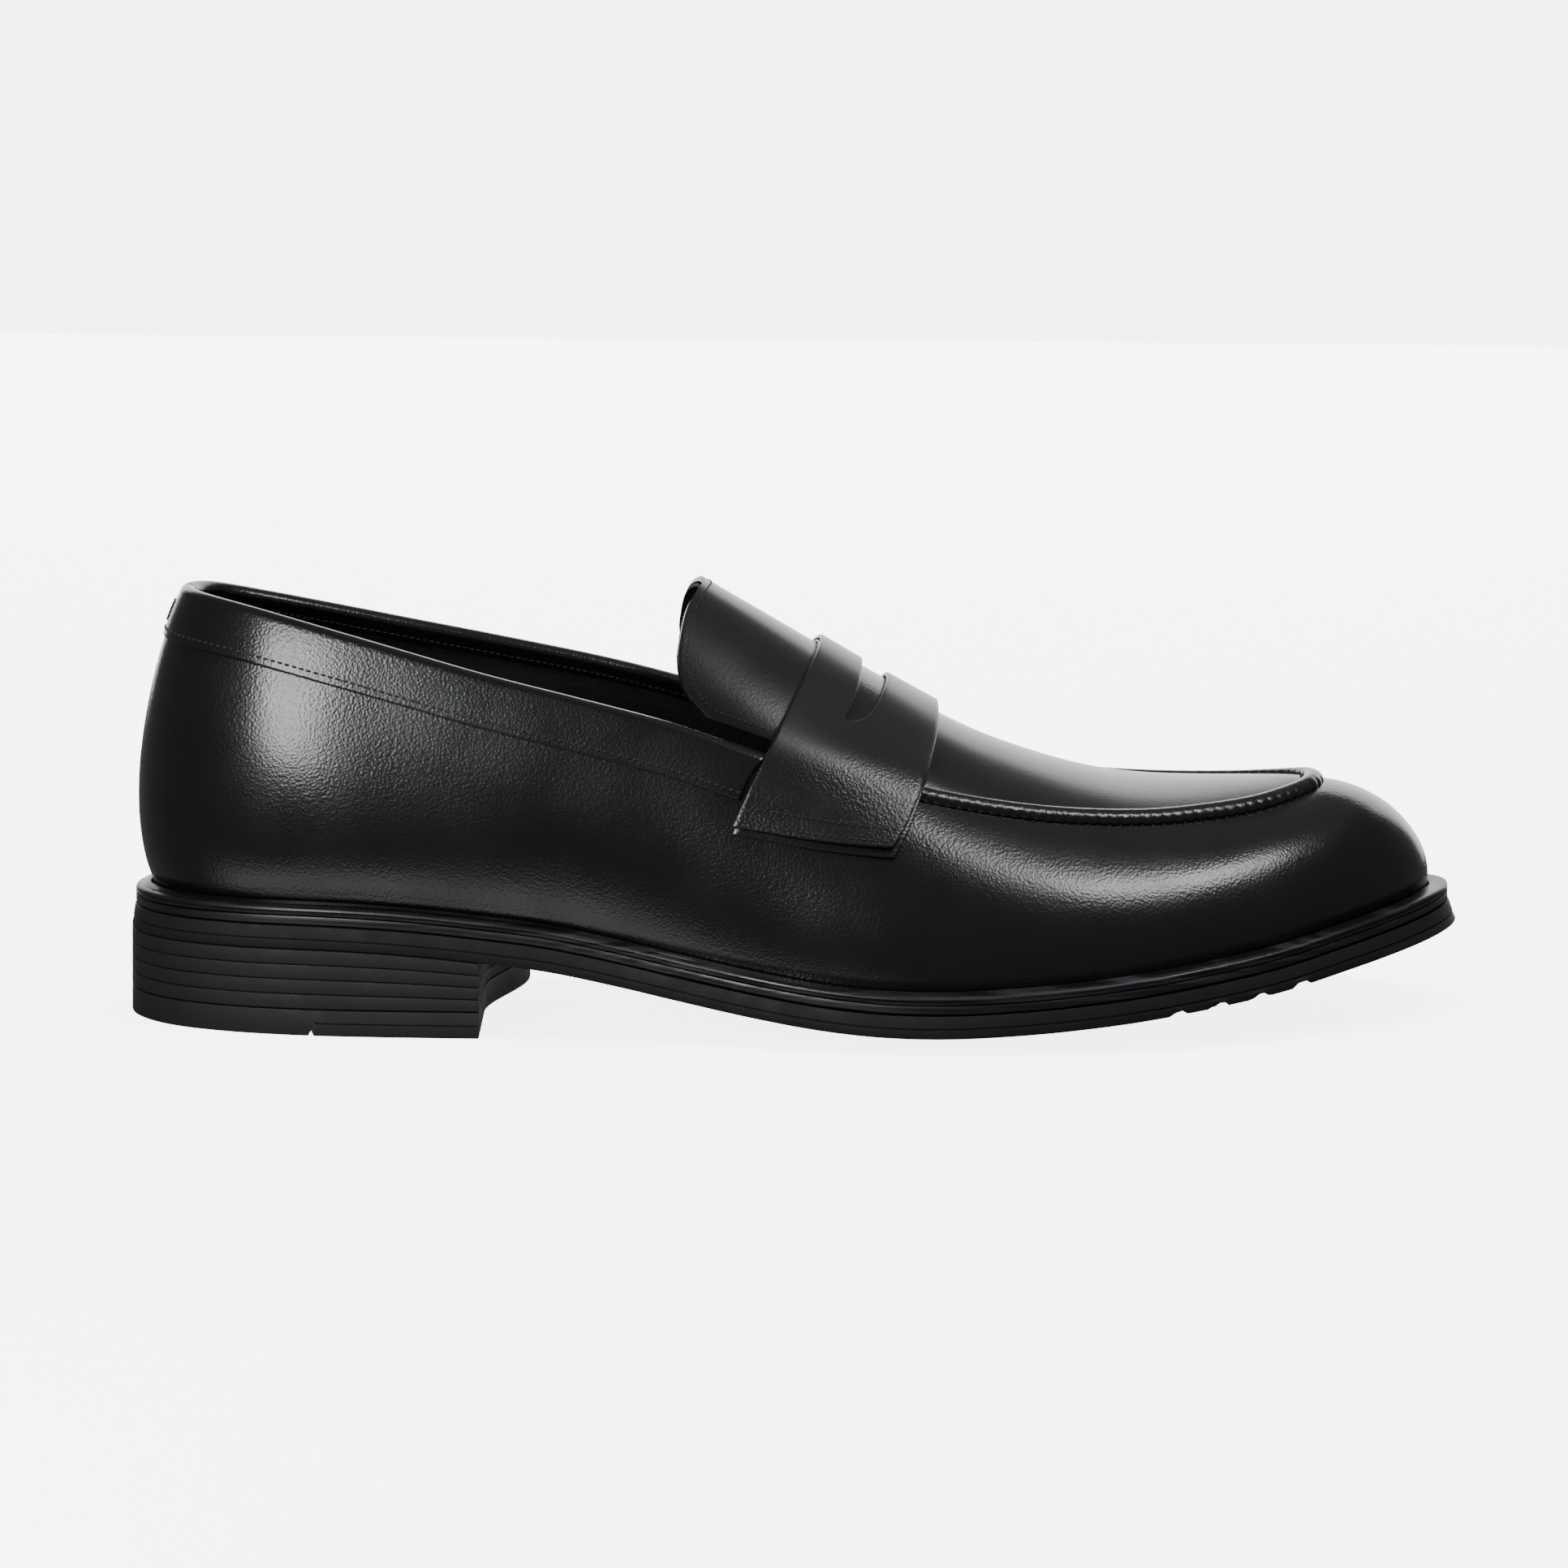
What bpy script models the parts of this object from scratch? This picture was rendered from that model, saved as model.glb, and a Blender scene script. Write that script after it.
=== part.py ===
"""Penny loafer, right foot, EU 42: every piece of upper, lining, bottom and heel as its own closed solid.

Working units are millimetres. s runs from the back of the heel to the toe, y from the outer (lateral,
negative) side to the inner (medial, positive) side, z up from the ground. place() moves s and y so that
the shoe stands centred on the origin, and turns millimetres into metres.
"""

import math

import bmesh
import bpy
import numpy as np
from mathutils import Matrix, Vector

MM = 0.001
LENGTH = 300.0
GAP = 0.3

# Levels of the bottom stack, measured up from the lower edge of the outsole.
OUTSOLE = (0.0, 5.1)
MIDSOLE = (5.5, 7.2)
WELT_BOTTOM = 7.7
WELT_STEP = 8.7
WELT_OUTER_TOP = 9.5
WELT_INNER_TOP = 10.7
FLANGE_BOTTOM = 9.0
FEATHER_LEVEL = 11.0
FILLER = (7.9, 10.2)
SHANK = (8.2, 9.6)
INSOLE = (11.0, 12.9)
SOCK = (13.3, 14.3)

LEATHER = 1.3
LINING = 0.9
STIFFENER = 1.1
FLANGE_WIDTH = 8.0
WELT_UNDER = 7.0
LINING_DROP = LEATHER + 0.55
COLLAR_DROP = 12.0
COLLAR_CLEAR = 1.6
COUNTER_HALF = 0.24
COUNTER_TOP = 4
PUFF_HALF = 0.83
PUFF_TOP = 5
LINING_SPLIT = 0.505
LINING_FOOT = 0.07
RIDGE_HALF_WIDTH = 2.2
RIDGE_HEIGHT = 1.9
RIDGE_DEPTH = 1.2
RIDGE_IN = 2.3
RIDGE_START = 170.0
RIDGE_SIDES = 8
APRON_IN = 5.0
APRON_END = 0.4945
APRON_REAR_CLEAR = 0.2
TONGUE_FRONT_CLEAR = 1.1

HEEL_HEIGHT = 19.3
TOP_PIECE_HEIGHT = 6.1
LIFTS = 4
BREAST_LATERAL = 78.6
BREAST_MEDIAL = 86.6
HEEL_FLARE = 0.3
NAIL_RADIUS = 1.2
NAIL_HEAD_RADIUS = 2.5
NAIL_HEAD_DEPTH = 1.4
NAIL_TIP = 7.8
NAIL_SIDES = 8
NAIL_SPOTS = ((16.0, 0.0), (30.0, -17.0), (30.0, 17.0), (58.0, -20.0), (58.0, 20.0))

TONGUE_FREE = (
    (0.0, 130.3), (0.3, 128.2), (0.5, 126.2), (0.7, 124.8), (0.8, 124.3), (0.9, 125.1), (0.95, 126.6),
    (1.0, 130.8),
)
HINGE_S = 154.6
HINGE_Z = 84.2

RING = 60
WALL_ROWS = (0.0, 0.16, 0.34, 0.52, 0.7, 0.86, 1.0)

# Feather line (s, y), and the top edge of the side wall (s, y, z) that stands over the same place.
LATERAL = (
    ((5.2, 0.0), (12.5, 0.0, 97.4)),
    ((7.0, -8.0), (13.6, -5.5, 97.2)),
    ((13.0, -16.2), (18.0, -11.5, 96.6)),
    ((25.0, -23.3), (28.5, -17.2, 94.6)),
    ((42.0, -28.3), (44.0, -21.8, 90.9)),
    ((60.0, -30.6), (61.0, -25.2, 86.4)),
    ((80.0, -32.0), (80.0, -28.3, 81.3)),
    ((107.0, -34.0), (104.0, -31.2, 75.6)),
    ((125.0, -37.0), (121.0, -32.8, 71.4)),
    ((143.0, -41.5), (138.0, -34.2, 65.9)),
    ((160.0, -45.5), (156.0, -34.8, 59.4)),
    ((182.0, -48.0), (178.0, -33.4, 52.8)),
    ((200.0, -47.6), (196.0, -30.8, 49.0)),
    ((219.0, -45.0), (213.0, -27.7, 46.8)),
    ((236.0, -40.6), (229.0, -24.0, 46.0)),
    ((251.0, -35.2), (242.0, -19.8, 46.5)),
    ((267.0, -26.8), (254.0, -15.0, 47.8)),
    ((280.5, -16.6), (263.0, -9.0, 49.8)),
    ((290.0, -5.5), (268.0, -3.0, 51.3)),
)
TOE = ((293.5, 4.0), (269.3, 3.5, 51.8))
MEDIAL = (
    ((7.0, 8.0), (13.6, 5.5, 97.2)),
    ((13.0, 16.2), (18.0, 11.5, 96.2)),
    ((25.0, 23.3), (28.5, 17.2, 93.4)),
    ((42.0, 28.0), (44.0, 21.8, 89.8)),
    ((60.0, 29.8), (61.0, 25.2, 85.9)),
    ((82.0, 29.6), (84.0, 28.0, 81.0)),
    ((106.0, 29.0), (110.0, 30.4, 75.2)),
    ((126.0, 30.4), (130.0, 31.8, 69.6)),
    ((146.0, 34.2), (148.0, 33.2, 62.8)),
    ((166.0, 39.4), (165.0, 33.4, 56.6)),
    ((188.0, 43.6), (186.0, 32.6, 51.0)),
    ((210.0, 45.2), (205.0, 31.2, 48.2)),
    ((232.0, 43.6), (223.0, 29.0, 47.0)),
    ((252.0, 38.8), (239.0, 26.0, 47.0)),
    ((269.0, 31.6), (252.0, 22.2, 47.9)),
    ((282.5, 22.2), (262.0, 16.0, 49.7)),
    ((291.0, 12.6), (267.6, 9.8, 51.2)),
)

# Along the half loop, 0 at the heel and 1 at the toe: lower and upper handles of the wall profile.
HANDLES = (
    (0.0, 5.2, 11.5, 12.5, 23.5),
    (0.08, 5.8, 12.0, 10.5, 23.0),
    (0.2, 5.0, 14.0, 7.5, 20.0),
    (0.38, 4.0, 15.0, 5.5, 17.0),
    (0.48, 2.5, 15.0, 5.5, 13.0),
    (0.6, 2.0, 14.0, 8.0, 7.0),
    (0.75, 1.5, 11.0, 9.5, 5.0),
    (0.9, 1.2, 8.5, 14.0, 3.0),
    (1.0, 1.0, 7.2, 17.5, 1.6),
)
SEAM_RISE = ((0.0, 2.4), (0.5, 2.6), (0.6, 3.0), (0.75, 2.8), (0.88, 2.2), (0.96, 1.0), (1.0, 0.6))
RIM = ((0.0, 3.9), (0.15, 3.0), (0.4, 3.4), (0.6, 5.4), (0.75, 5.6), (0.9, 4.4), (1.0, 3.6))
LIP = ((0.0, 1.0), (0.2, 0.6), (0.5, 0.5), (0.8, 0.8), (0.9, 1.6), (0.96, 2.6), (1.0, 2.9))

# Height of the outsole's lower edge, and how far its middle bellies below it.
EDGE = (
    (-8.0, 19.3), (25.0, 19.4), (50.0, 19.2), (65.0, 18.4), (79.0, 17.1), (95.0, 15.2), (110.0, 12.4),
    (125.0, 9.4), (140.0, 6.8), (155.0, 4.8), (169.0, 3.75), (184.0, 3.65), (198.0, 4.3), (213.0, 5.4),
    (228.0, 6.9), (243.0, 8.9), (258.0, 11.2), (272.0, 14.1), (287.0, 17.0), (300.0, 19.5), (312.0, 21.6),
)
BELLY = (
    (-8.0, 0.0), (88.0, 0.0), (120.0, 1.5), (150.0, 3.1), (178.0, 3.6), (210.0, 3.3), (240.0, 2.6),
    (270.0, 1.4), (312.0, 0.3),
)
# Height of the middle of the tongue and apron.
CREST = (
    (110.0, 109.6), (130.3, 97.7), (153.6, 84.0), (165.0, 77.2), (177.0, 70.3), (184.0, 66.4), (191.0, 63.0),
    (198.5, 60.0), (206.0, 57.4), (213.0, 55.3), (220.5, 53.6), (229.0, 52.5), (240.0, 52.1), (252.0, 52.3),
    (262.0, 52.6), (275.0, 52.6),
)
# How steeply the arch leaves its edges: small is round, one is a flat parabola.
ARCH = ((110.0, 0.9), (170.0, 0.9), (200.0, 0.95), (215.0, 1.0), (275.0, 1.0))

# Strap edges across the crown, 0 in the middle and 1 at its side, and down the wall to 2 at the strap's end.
STRAP_REAR = (
    (0.0, 155.2), (0.3, 154.4), (0.5, 152.9), (0.7, 150.7), (0.8, 149.3), (0.9, 147.5), (1.0, 145.5),
    (2.0, 136.4),
)
STRAP_FRONT = ((0.0, 182.0), (0.5, 182.3), (0.8, 181.5), (1.0, 180.3), (2.0, 171.5))
STRAP_DROP_REAR = 18.6
STRAP_DROP_FRONT = 11.5
STRAP_UNDER = 1.4
STRAP_OVER = 2.65
STRAP_SEAM_ALLOWANCE = 4.0
BACKING_UNDER = 0.6
BACKING_OVER = 1.1
BACKING_LIP = 1.6
BACKING_FRONT = 0.4
SLOT_REAR = 165.4
SLOT_FRONT = 171.1
SLOT_TIP = (161.5, 25.8)
SLOT_REAR_BEND = 2.6
SLOT_LEVELS = (58.0, 92.0)

SHANK_ENDS = (58.0, 148.0)
SHANK_HALF_WIDTH = 7.5
PAD_RISE = 2.6
PAD_FADE = (58.0, 92.0)

LOOKS = {
    "upper": ((0.012, 0.012, 0.013), 0.35, 0.0),
    "lining": ((0.02, 0.019, 0.018), 0.8, 0.0),
    "edge": ((0.02, 0.02, 0.02), 0.5, 0.0),
    "rubber": ((0.025, 0.025, 0.025), 0.75, 0.0),
    "board": ((0.32, 0.2, 0.11), 0.9, 0.0),
    "cork": ((0.3, 0.18, 0.09), 0.95, 0.0),
    "foam": ((0.05, 0.05, 0.05), 0.9, 0.0),
    "steel": ((0.4, 0.4, 0.42), 0.35, 1.0),
}


def clear_scene():
    for old in list(bpy.data.objects):
        bpy.data.objects.remove(old, do_unlink=True)


def material(look):
    made = bpy.data.materials.get(look)
    if made is None:
        colour, roughness, metallic = LOOKS[look]
        made = bpy.data.materials.new(look)
        made.use_nodes = True
        shader = made.node_tree.nodes["Principled BSDF"]
        shader.inputs["Base Color"].default_value = (*colour, 1.0)
        shader.inputs["Roughness"].default_value = roughness
        shader.inputs["Metallic"].default_value = metallic
    return made


def spline(keys, at):
    """Smooth curve through rows of (position, value, ...), read at the positions asked for."""
    table = np.asarray(keys, float)
    where, values = table[:, 0], table[:, 1:]
    slopes = np.gradient(values, where, axis=0)
    flat = np.clip(np.ravel(at), where[0], where[-1])
    low = np.clip(np.searchsorted(where, flat, side="right") - 1, 0, len(where) - 2)
    span = where[low + 1] - where[low]
    t = ((flat - where[low]) / span)[:, None]
    span = span[:, None]
    ends = (1 + 2 * t) * (1 - t) ** 2 * values[low] + t**2 * (3 - 2 * t) * values[low + 1]
    bends = t * (1 - t) ** 2 * span * slopes[low] + t**2 * (t - 1) * span * slopes[low + 1]
    out = (ends + bends).reshape(*np.shape(at), values.shape[1])
    return out[..., 0] if values.shape[1] == 1 else out


def smooth_step(low, high, at):
    t = np.clip((np.asarray(at, float) - low) / (high - low), 0.0, 1.0)
    return t * t * (3 - 2 * t)


def unit(vectors):
    return vectors / np.maximum(np.linalg.norm(vectors, axis=-1, keepdims=True), 1e-9)


def loop_tables():
    """Feather and top edge as closed loops over u: 0 heel, 0.5 toe, 1 heel again."""
    outer = list(LATERAL) + [TOE]
    inner = [TOE] + list(reversed(MEDIAL)) + [LATERAL[0]]
    positions = []
    for start, side in ((0.0, outer), (0.5, inner)):
        plan = np.array([row[0] for row in side])
        run = np.concatenate([[0.0], np.cumsum(np.linalg.norm(np.diff(plan, axis=0), axis=1))])
        positions.append(start + 0.5 * run / run[-1])
    rows = outer + inner[1:]
    where = np.concatenate([positions[0], positions[1][1:]])
    values = np.array([(*row[0], *row[1]) for row in rows])
    table = np.column_stack([where, values])
    before = table[-3:-1] - np.array([1.0, 0, 0, 0, 0, 0])
    after = table[1:3] + np.array([1.0, 0, 0, 0, 0, 0])
    return np.concatenate([before, table, after])


LOOP = loop_tables()


def half(u):
    """0 at the heel and 1 at the toe, on either side."""
    return 1.0 - np.abs(2.0 * np.mod(u, 1.0) - 1.0)


def plan_normal(u, first):
    """Outward direction in plan of the feather (first 0) or of the top edge (first 2)."""
    step = 0.002
    ahead = spline(LOOP, np.mod(u + step, 1.0))[..., first : first + 2]
    behind = spline(LOOP, np.mod(u - step, 1.0))[..., first : first + 2]
    along = unit(ahead - behind)
    return np.stack([along[..., 1], -along[..., 0]], axis=-1)


def outline(u, out=0.0):
    """Plan curve at a distance outside the feather line."""
    u = np.asarray(u, float)
    centre = spline(LOOP, np.mod(u, 1.0))[..., :2]
    return centre + plan_normal(u, 0) * np.asarray(out)[..., None]


def rim(u, lip=0.0):
    return spline(RIM, half(u)) + lip * spline(LIP, half(u))


def bottom_outline(u, lip=0.0, inset=0.0):
    return outline(u, rim(u, lip) - inset)


def outline_sides():
    u = np.linspace(0.0, 0.5, 200)
    return bottom_outline(u), bottom_outline(1.0 - u)


SIDES = outline_sides()
CENTRE_Y = 0.5 * (
    bottom_outline(np.linspace(0, 1, 400), 1.0)[:, 1].max()
    + bottom_outline(np.linspace(0, 1, 400), 1.0)[:, 1].min()
)


def bottom_z(s, y, level):
    """Height of a level of the bottom stack: it follows the sole's spring and bellies in the middle."""
    lateral = np.interp(s, SIDES[0][:, 0], SIDES[0][:, 1])
    medial = np.interp(s, SIDES[1][:, 0], SIDES[1][:, 1])
    width = medial - lateral
    across = (2 * y - lateral - medial) / np.maximum(width, 1.0)
    inside = (1 - np.clip(across**2, 0, 1)) * smooth_step(0.0, 40.0, width)
    return spline(EDGE, s) - spline(BELLY, s) * inside + level


def lifted(plan, level):
    return np.concatenate([plan, bottom_z(plan[..., 0], plan[..., 1], level)[..., None]], axis=-1)


def wall(u, t):
    """Outer face of the side wall: t is 0 at the feather line and 1 at the top edge."""
    u, t = np.broadcast_arrays(np.asarray(u, float), np.asarray(t, float))
    loop = spline(LOOP, np.mod(u, 1.0))
    foot = lifted(loop[..., :2], FEATHER_LEVEL)
    head = loop[..., 2:]
    low_out, low_up, high_out, high_down = np.moveaxis(spline(HANDLES, half(u)), -1, 0)
    outward = np.concatenate([plan_normal(u, 0), np.zeros(u.shape + (1,))], axis=-1)
    up = np.array([0.0, 0.0, 1.0])
    first = foot + outward * low_out[..., None] + up * low_up[..., None]
    second = head + outward * high_out[..., None] - up * high_down[..., None]
    t = t[..., None]
    return (1 - t) ** 3 * foot + 3 * t * (1 - t) ** 2 * first + 3 * t**2 * (1 - t) * second + t**3 * head


def wall_below_top(u, drop):
    """Point of the wall that lies drop below its top edge."""
    samples = np.linspace(0.0, 1.0, 41)
    flat_u = np.ravel(u)
    lines = wall(flat_u[:, None], samples[None, :])
    heights = lines[:, -1, 2] - np.ravel(drop)
    t = [np.interp(height, line[:, 2], samples) for height, line in zip(heights, lines)]
    return wall(flat_u, np.array(t)).reshape(*np.shape(u), 3)


def seam_rise(u):
    """How far the apron's edge stands above the wall's, as an upward vector."""
    rise = spline(SEAM_RISE, half(u))
    return rise[..., None] * np.array([0.0, 0.0, 1.0])


def crown_edge(u):
    """Edge of the apron and tongue, just inside the top of the wall."""
    head = spline(LOOP, np.mod(u, 1.0))[..., 2:]
    inward = np.concatenate([-plan_normal(u, 2), np.zeros(np.shape(u) + (1,))], axis=-1)
    return head + inward * APRON_IN + seam_rise(u)


def crown(u, w):
    """Arched face of apron and tongue between the two sides: w is 0 lateral and 1 medial."""
    u, w = np.broadcast_arrays(np.asarray(u, float), np.asarray(w, float))
    left, right = crown_edge(u), crown_edge(1.0 - u)
    point = left + (right - left) * w[..., None]
    middle = 0.5 * (left + right)
    rise = np.maximum(spline(CREST, middle[..., 0]) - middle[..., 2], 0.0)
    bulge = (4 * w * (1 - w)) ** spline(ARCH, middle[..., 0])
    point[..., 2] += rise * bulge
    return point


def u_at_s(line, s):
    """u at which a line over the crown or wall passes s."""
    samples = np.linspace(0.12, 0.5, 77)
    return np.interp(s, line(samples)[:, 0], samples)


def ring_positions():
    tau = np.arange(RING) / RING
    return tau - 0.4 * np.sin(4 * math.pi * tau) / (4 * math.pi)


RING_U = ring_positions()


def grid_normals(grid, closed):
    if closed:
        along = np.roll(grid, -1, axis=1) - np.roll(grid, 1, axis=1)
    else:
        along = np.gradient(grid, axis=1)
    up = np.gradient(grid, axis=0)
    return unit(np.cross(along, up))


def offset(grid, distance, closed=False):
    return grid + grid_normals(grid, closed) * np.broadcast_to(distance, grid.shape[:2])[..., None]


def under(grid, depth):
    """The same grid depth below it, for grids of the crown, whose rows run forward and columns inward."""
    return offset(grid, depth)


def over(grid, height):
    return offset(grid, -height)


def place(points):
    moved = np.asarray(points, float).reshape(-1, 3).copy()
    moved[:, 0] -= LENGTH / 2
    moved[:, 1] -= CENTRE_Y
    return moved * MM


def add_object(name, points, faces, look, smooth=True):
    mesh = bpy.data.meshes.new(name)
    mesh.from_pydata(place(points).tolist(), [], faces)
    work = bmesh.new()
    work.from_mesh(mesh)
    bmesh.ops.remove_doubles(work, verts=work.verts, dist=1e-6)
    bmesh.ops.dissolve_degenerate(work, edges=work.edges, dist=1e-6)
    bmesh.ops.recalc_face_normals(work, faces=work.faces)
    if work.calc_volume(signed=True) < 0:
        bmesh.ops.reverse_faces(work, faces=work.faces)
    work.to_mesh(mesh)
    work.free()
    if smooth:
        mesh.shade_smooth()
        mesh.set_sharp_from_angle(angle=math.radians(40))
    mesh.materials.append(material(look))
    made = bpy.data.objects.new(name, mesh)
    bpy.context.scene.collection.objects.link(made)
    return made


def shell(name, outer, inner, look, closed=False):
    """Sheet between two grids of the same size; closed joins the last column to the first."""
    rows, columns = outer.shape[:2]
    count = rows * columns
    steps = columns if closed else columns - 1
    faces = []
    for row in range(rows - 1):
        for column in range(steps):
            beside = (column + 1) % columns
            a, b = row * columns + column, row * columns + beside
            c, d = (row + 1) * columns + beside, (row + 1) * columns + column
            faces.append((a, b, c, d))
            faces.append((count + d, count + c, count + b, count + a))
    for row in (0, (rows - 1) * columns):
        for column in range(steps):
            a, b = row + column, row + (column + 1) % columns
            faces.append((a, b, count + b, count + a) if row else (b, a, count + a, count + b))
    if not closed:
        for row in range(rows - 1):
            for column in (0, columns - 1):
                a, b = row * columns + column, (row + 1) * columns + column
                faces.append((a, b, count + b, count + a))
    return add_object(name, np.concatenate([outer.reshape(-1, 3), inner.reshape(-1, 3)]), faces, look)


def ladder(lateral, medial, across, lean=None):
    """Plan grid whose rungs join two sides, rung by rung. lean shapes each rung's s between its ends."""
    w = np.linspace(0.0, 1.0, across)
    share = w if lean is None else lean(w)
    s = lateral[:, None, 0] + (medial - lateral)[:, None, 0] * share[None, :]
    y = lateral[:, None, 1] + (medial - lateral)[:, None, 1] * w[None, :]
    return np.stack([s, y], axis=-1)


def eased(count, start=0.0, stop=1.0):
    """Positions from 0 to 1, closer together at the ends that are round in plan."""
    t = np.linspace(start, stop, count)
    return (1 - np.cos(math.pi * t)) / 2


def bottom_plate(name, low, high, look, inset=0.0, lip=(0.0, 0.0), stations=26, across=5):
    """Full-length plate of the bottom between two levels."""
    u = 0.5 * eased(stations)
    grids = []
    for level, out in ((high, lip[1]), (low, lip[0])):
        plan = ladder(bottom_outline(u, out, inset), bottom_outline(1 - u, out, inset), across)
        grids.append(lifted(plan, level))
    return shell(name, grids[0], grids[1], look)


def inner_plate(name, low, high, look, inset, s_range, across=5, stations=22):
    """Plate inside the upper or the welt, whose edge follows the feather line, between two values of s."""
    u = 0.5 * eased(stations)
    lateral, medial = outline(u, -inset), outline(1 - u, -inset)
    middle = 0.5 * (lateral[:, 0] + medial[:, 0])
    reach = [np.interp(s, middle, u) for s in s_range]
    u = reach[0] + (reach[1] - reach[0]) * eased(stations)
    plan = ladder(outline(u, -inset), outline(1 - u, -inset), across)
    tops = [np.asarray(level(plan[..., 0])) if callable(level) else level for level in (high, low)]
    return shell(name, lifted(plan, tops[0]), lifted(plan, tops[1]), look)


def wall_grid(rows=WALL_ROWS, columns=RING_U):
    return wall(columns[None, :], np.asarray(rows)[:, None])


def make_vamp_quarter():
    """One-piece side wall with the lasting allowance turned in under it."""
    base = outline(RING_U)
    inward = -plan_normal(RING_U, 0)
    turned = []
    for width, level in ((FLANGE_WIDTH, FLANGE_BOTTOM), (4.0, FLANGE_BOTTOM), (1.2, FLANGE_BOTTOM + 0.15)):
        turned.append(lifted(base + inward * width, level))
    turned.append(lifted(base + inward * 0.25, FLANGE_BOTTOM + 0.9))
    outer = np.concatenate([np.array(turned), wall_grid()])
    return shell("vamp_quarter", outer, offset(outer, -LEATHER, True), "upper", True)


def stiffener_room(u, row):
    """1 where a heel counter or toe puff lies between wall and lining, fading to 0 beside it."""
    place_on_half = half(u)
    counter = smooth_step(COUNTER_HALF + 0.09, COUNTER_HALF + 0.04, place_on_half)
    counter = counter * (row <= COUNTER_TOP + 1)
    puff = smooth_step(PUFF_HALF - 0.09, PUFF_HALF - 0.04, place_on_half) * (row <= PUFF_TOP + 1)
    return np.maximum(counter, puff)


def lining_grids():
    rows = np.array((LINING_FOOT,) + WALL_ROWS[1:])
    outer = wall_grid(rows)
    row_index = np.arange(len(rows))[:, None]
    room = (STIFFENER + GAP) * stiffener_room(RING_U[None, :], row_index)
    face = LINING_DROP - 0.1 + room
    normals = grid_normals(outer, True)
    return outer - normals * face[..., None], outer - normals * (face + LINING)[..., None]


def columns_round_heel(reach):
    """Columns of the ring within reach of the heel, in order from the medial side round to the lateral."""
    found = np.flatnonzero(half(RING_U) <= reach)
    split = np.flatnonzero(np.diff(found) > 1)[0] + 1
    return np.concatenate([found[split:], found[:split]])


def make_linings():
    """Leather quarter lining round the heel, cloth vamp lining round the toe, meeting under the strap."""
    face, back = lining_grids()
    front = np.flatnonzero(half(RING_U) > LINING_SPLIT)
    rear = columns_round_heel(LINING_SPLIT)
    shell("quarter_lining", face[:, rear], back[:, rear], "lining")
    shell("vamp_lining", face[:, front], back[:, front], "lining")


def make_stiffeners():
    """Heel counter and toe puff, between the wall and its lining."""
    outer = wall_grid(np.array((LINING_FOOT,) + WALL_ROWS[1:]))
    normals = grid_normals(outer, True)
    face = outer - normals * (LEATHER + GAP)
    back = outer - normals * (LEATHER + GAP + STIFFENER - 0.05)
    around_heel = columns_round_heel(COUNTER_HALF)
    around_toe = np.flatnonzero(half(RING_U) >= PUFF_HALF)
    for name, chosen, top in (("heel_counter", around_heel, COUNTER_TOP), ("toe_puff", around_toe, PUFF_TOP)):
        shell(name, face[: top + 1, chosen], back[: top + 1, chosen], "board")


def side_fraction_of_drop(drop, full):
    """Position in the strap's edge tables of a point that lies drop below the wall's top."""
    return 1.0 + np.clip(drop / full, 0.0, 1.0)


def make_collar(name, side):
    """Strip sewn over the top of the quarter from the centre back to the strap."""
    drops = np.array((COLLAR_DROP, 8.0, 4.0, 0.0))
    ends = []
    for drop in drops:
        stop = spline(STRAP_REAR, side_fraction_of_drop(drop, STRAP_DROP_REAR)) - COLLAR_CLEAR
        line = lambda us, d=drop: wall_below_top(on_side(us, side), np.full(us.shape, d))
        ends.append(u_at_s(line, stop))
    shared = RING_U[(RING_U > 0.004) & (RING_U < min(ends) - 0.006)]
    rows = []
    for drop, end in zip(drops, ends):
        us = np.concatenate([[0.0012], shared, [end]])
        rows.append(wall_below_top(on_side(us, side), np.full(us.shape, drop)))
    grid = np.array(rows)
    facing = 1.0 if side < 0 else -1.0
    near = offset(grid, facing * GAP)
    far = offset(grid, facing * (GAP + LEATHER - 0.1))
    return shell(name, far, near, "upper")


def on_side(u, side):
    return u if side < 0 else 1.0 - u


def crown_u_at(s, w):
    samples = np.linspace(0.12, 0.5, 96)
    line = crown(samples, np.full(samples.shape, w))
    return np.interp(s, line[:, 0], samples)


def crown_grid(rear, front, stations, across):
    """Grid on the crown between two edge curves that give s for each distance from the middle."""
    spread = np.linspace(0.0, 1.0, across)
    w = 0.5 - 0.5 * np.cos(math.pi * spread)
    columns = []
    for one in w:
        away = abs(2 * one - 1)
        first = crown_u_at(rear(away), one)
        last = front(one) if front is not None else APRON_END
        us = first + (last - first) * np.linspace(0, 1, stations)
        columns.append(crown(us, np.full(us.shape, one)))
    return np.stack(columns, axis=1)


def make_apron():
    """Apron from under the strap to the toe, with its lining."""
    outer = crown_grid(lambda away: spline(STRAP_REAR, away) - APRON_REAR_CLEAR, None, 13, 9)
    shell("apron", outer, under(outer, LEATHER), "upper")
    shell("apron_lining", under(outer, LINING_DROP), under(outer, LINING_DROP + LINING), "lining")


def make_tongue():
    """Free part of the tongue behind the strap, with its lining."""
    def front(w):
        return crown_u_at(spline(STRAP_REAR, abs(2 * w - 1)) - TONGUE_FRONT_CLEAR, w)

    outer = crown_grid(lambda away: spline(TONGUE_FREE, away), front, 5, 13)
    leather = shell("tongue", outer, under(outer, LEATHER), "upper")
    inner = shell("tongue_lining", under(outer, LINING_DROP), under(outer, LINING_DROP + LINING), "lining")
    for piece in (leather, inner):
        move_origin(piece, HINGE_S, HINGE_Z)


def move_origin(piece, s, z):
    """Puts the object's origin on the line that the tongue bends about."""
    target = place([[s, CENTRE_Y, z]])[0]
    piece.data.transform(Matrix.Translation(-Vector(target)))
    piece.location = target


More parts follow.
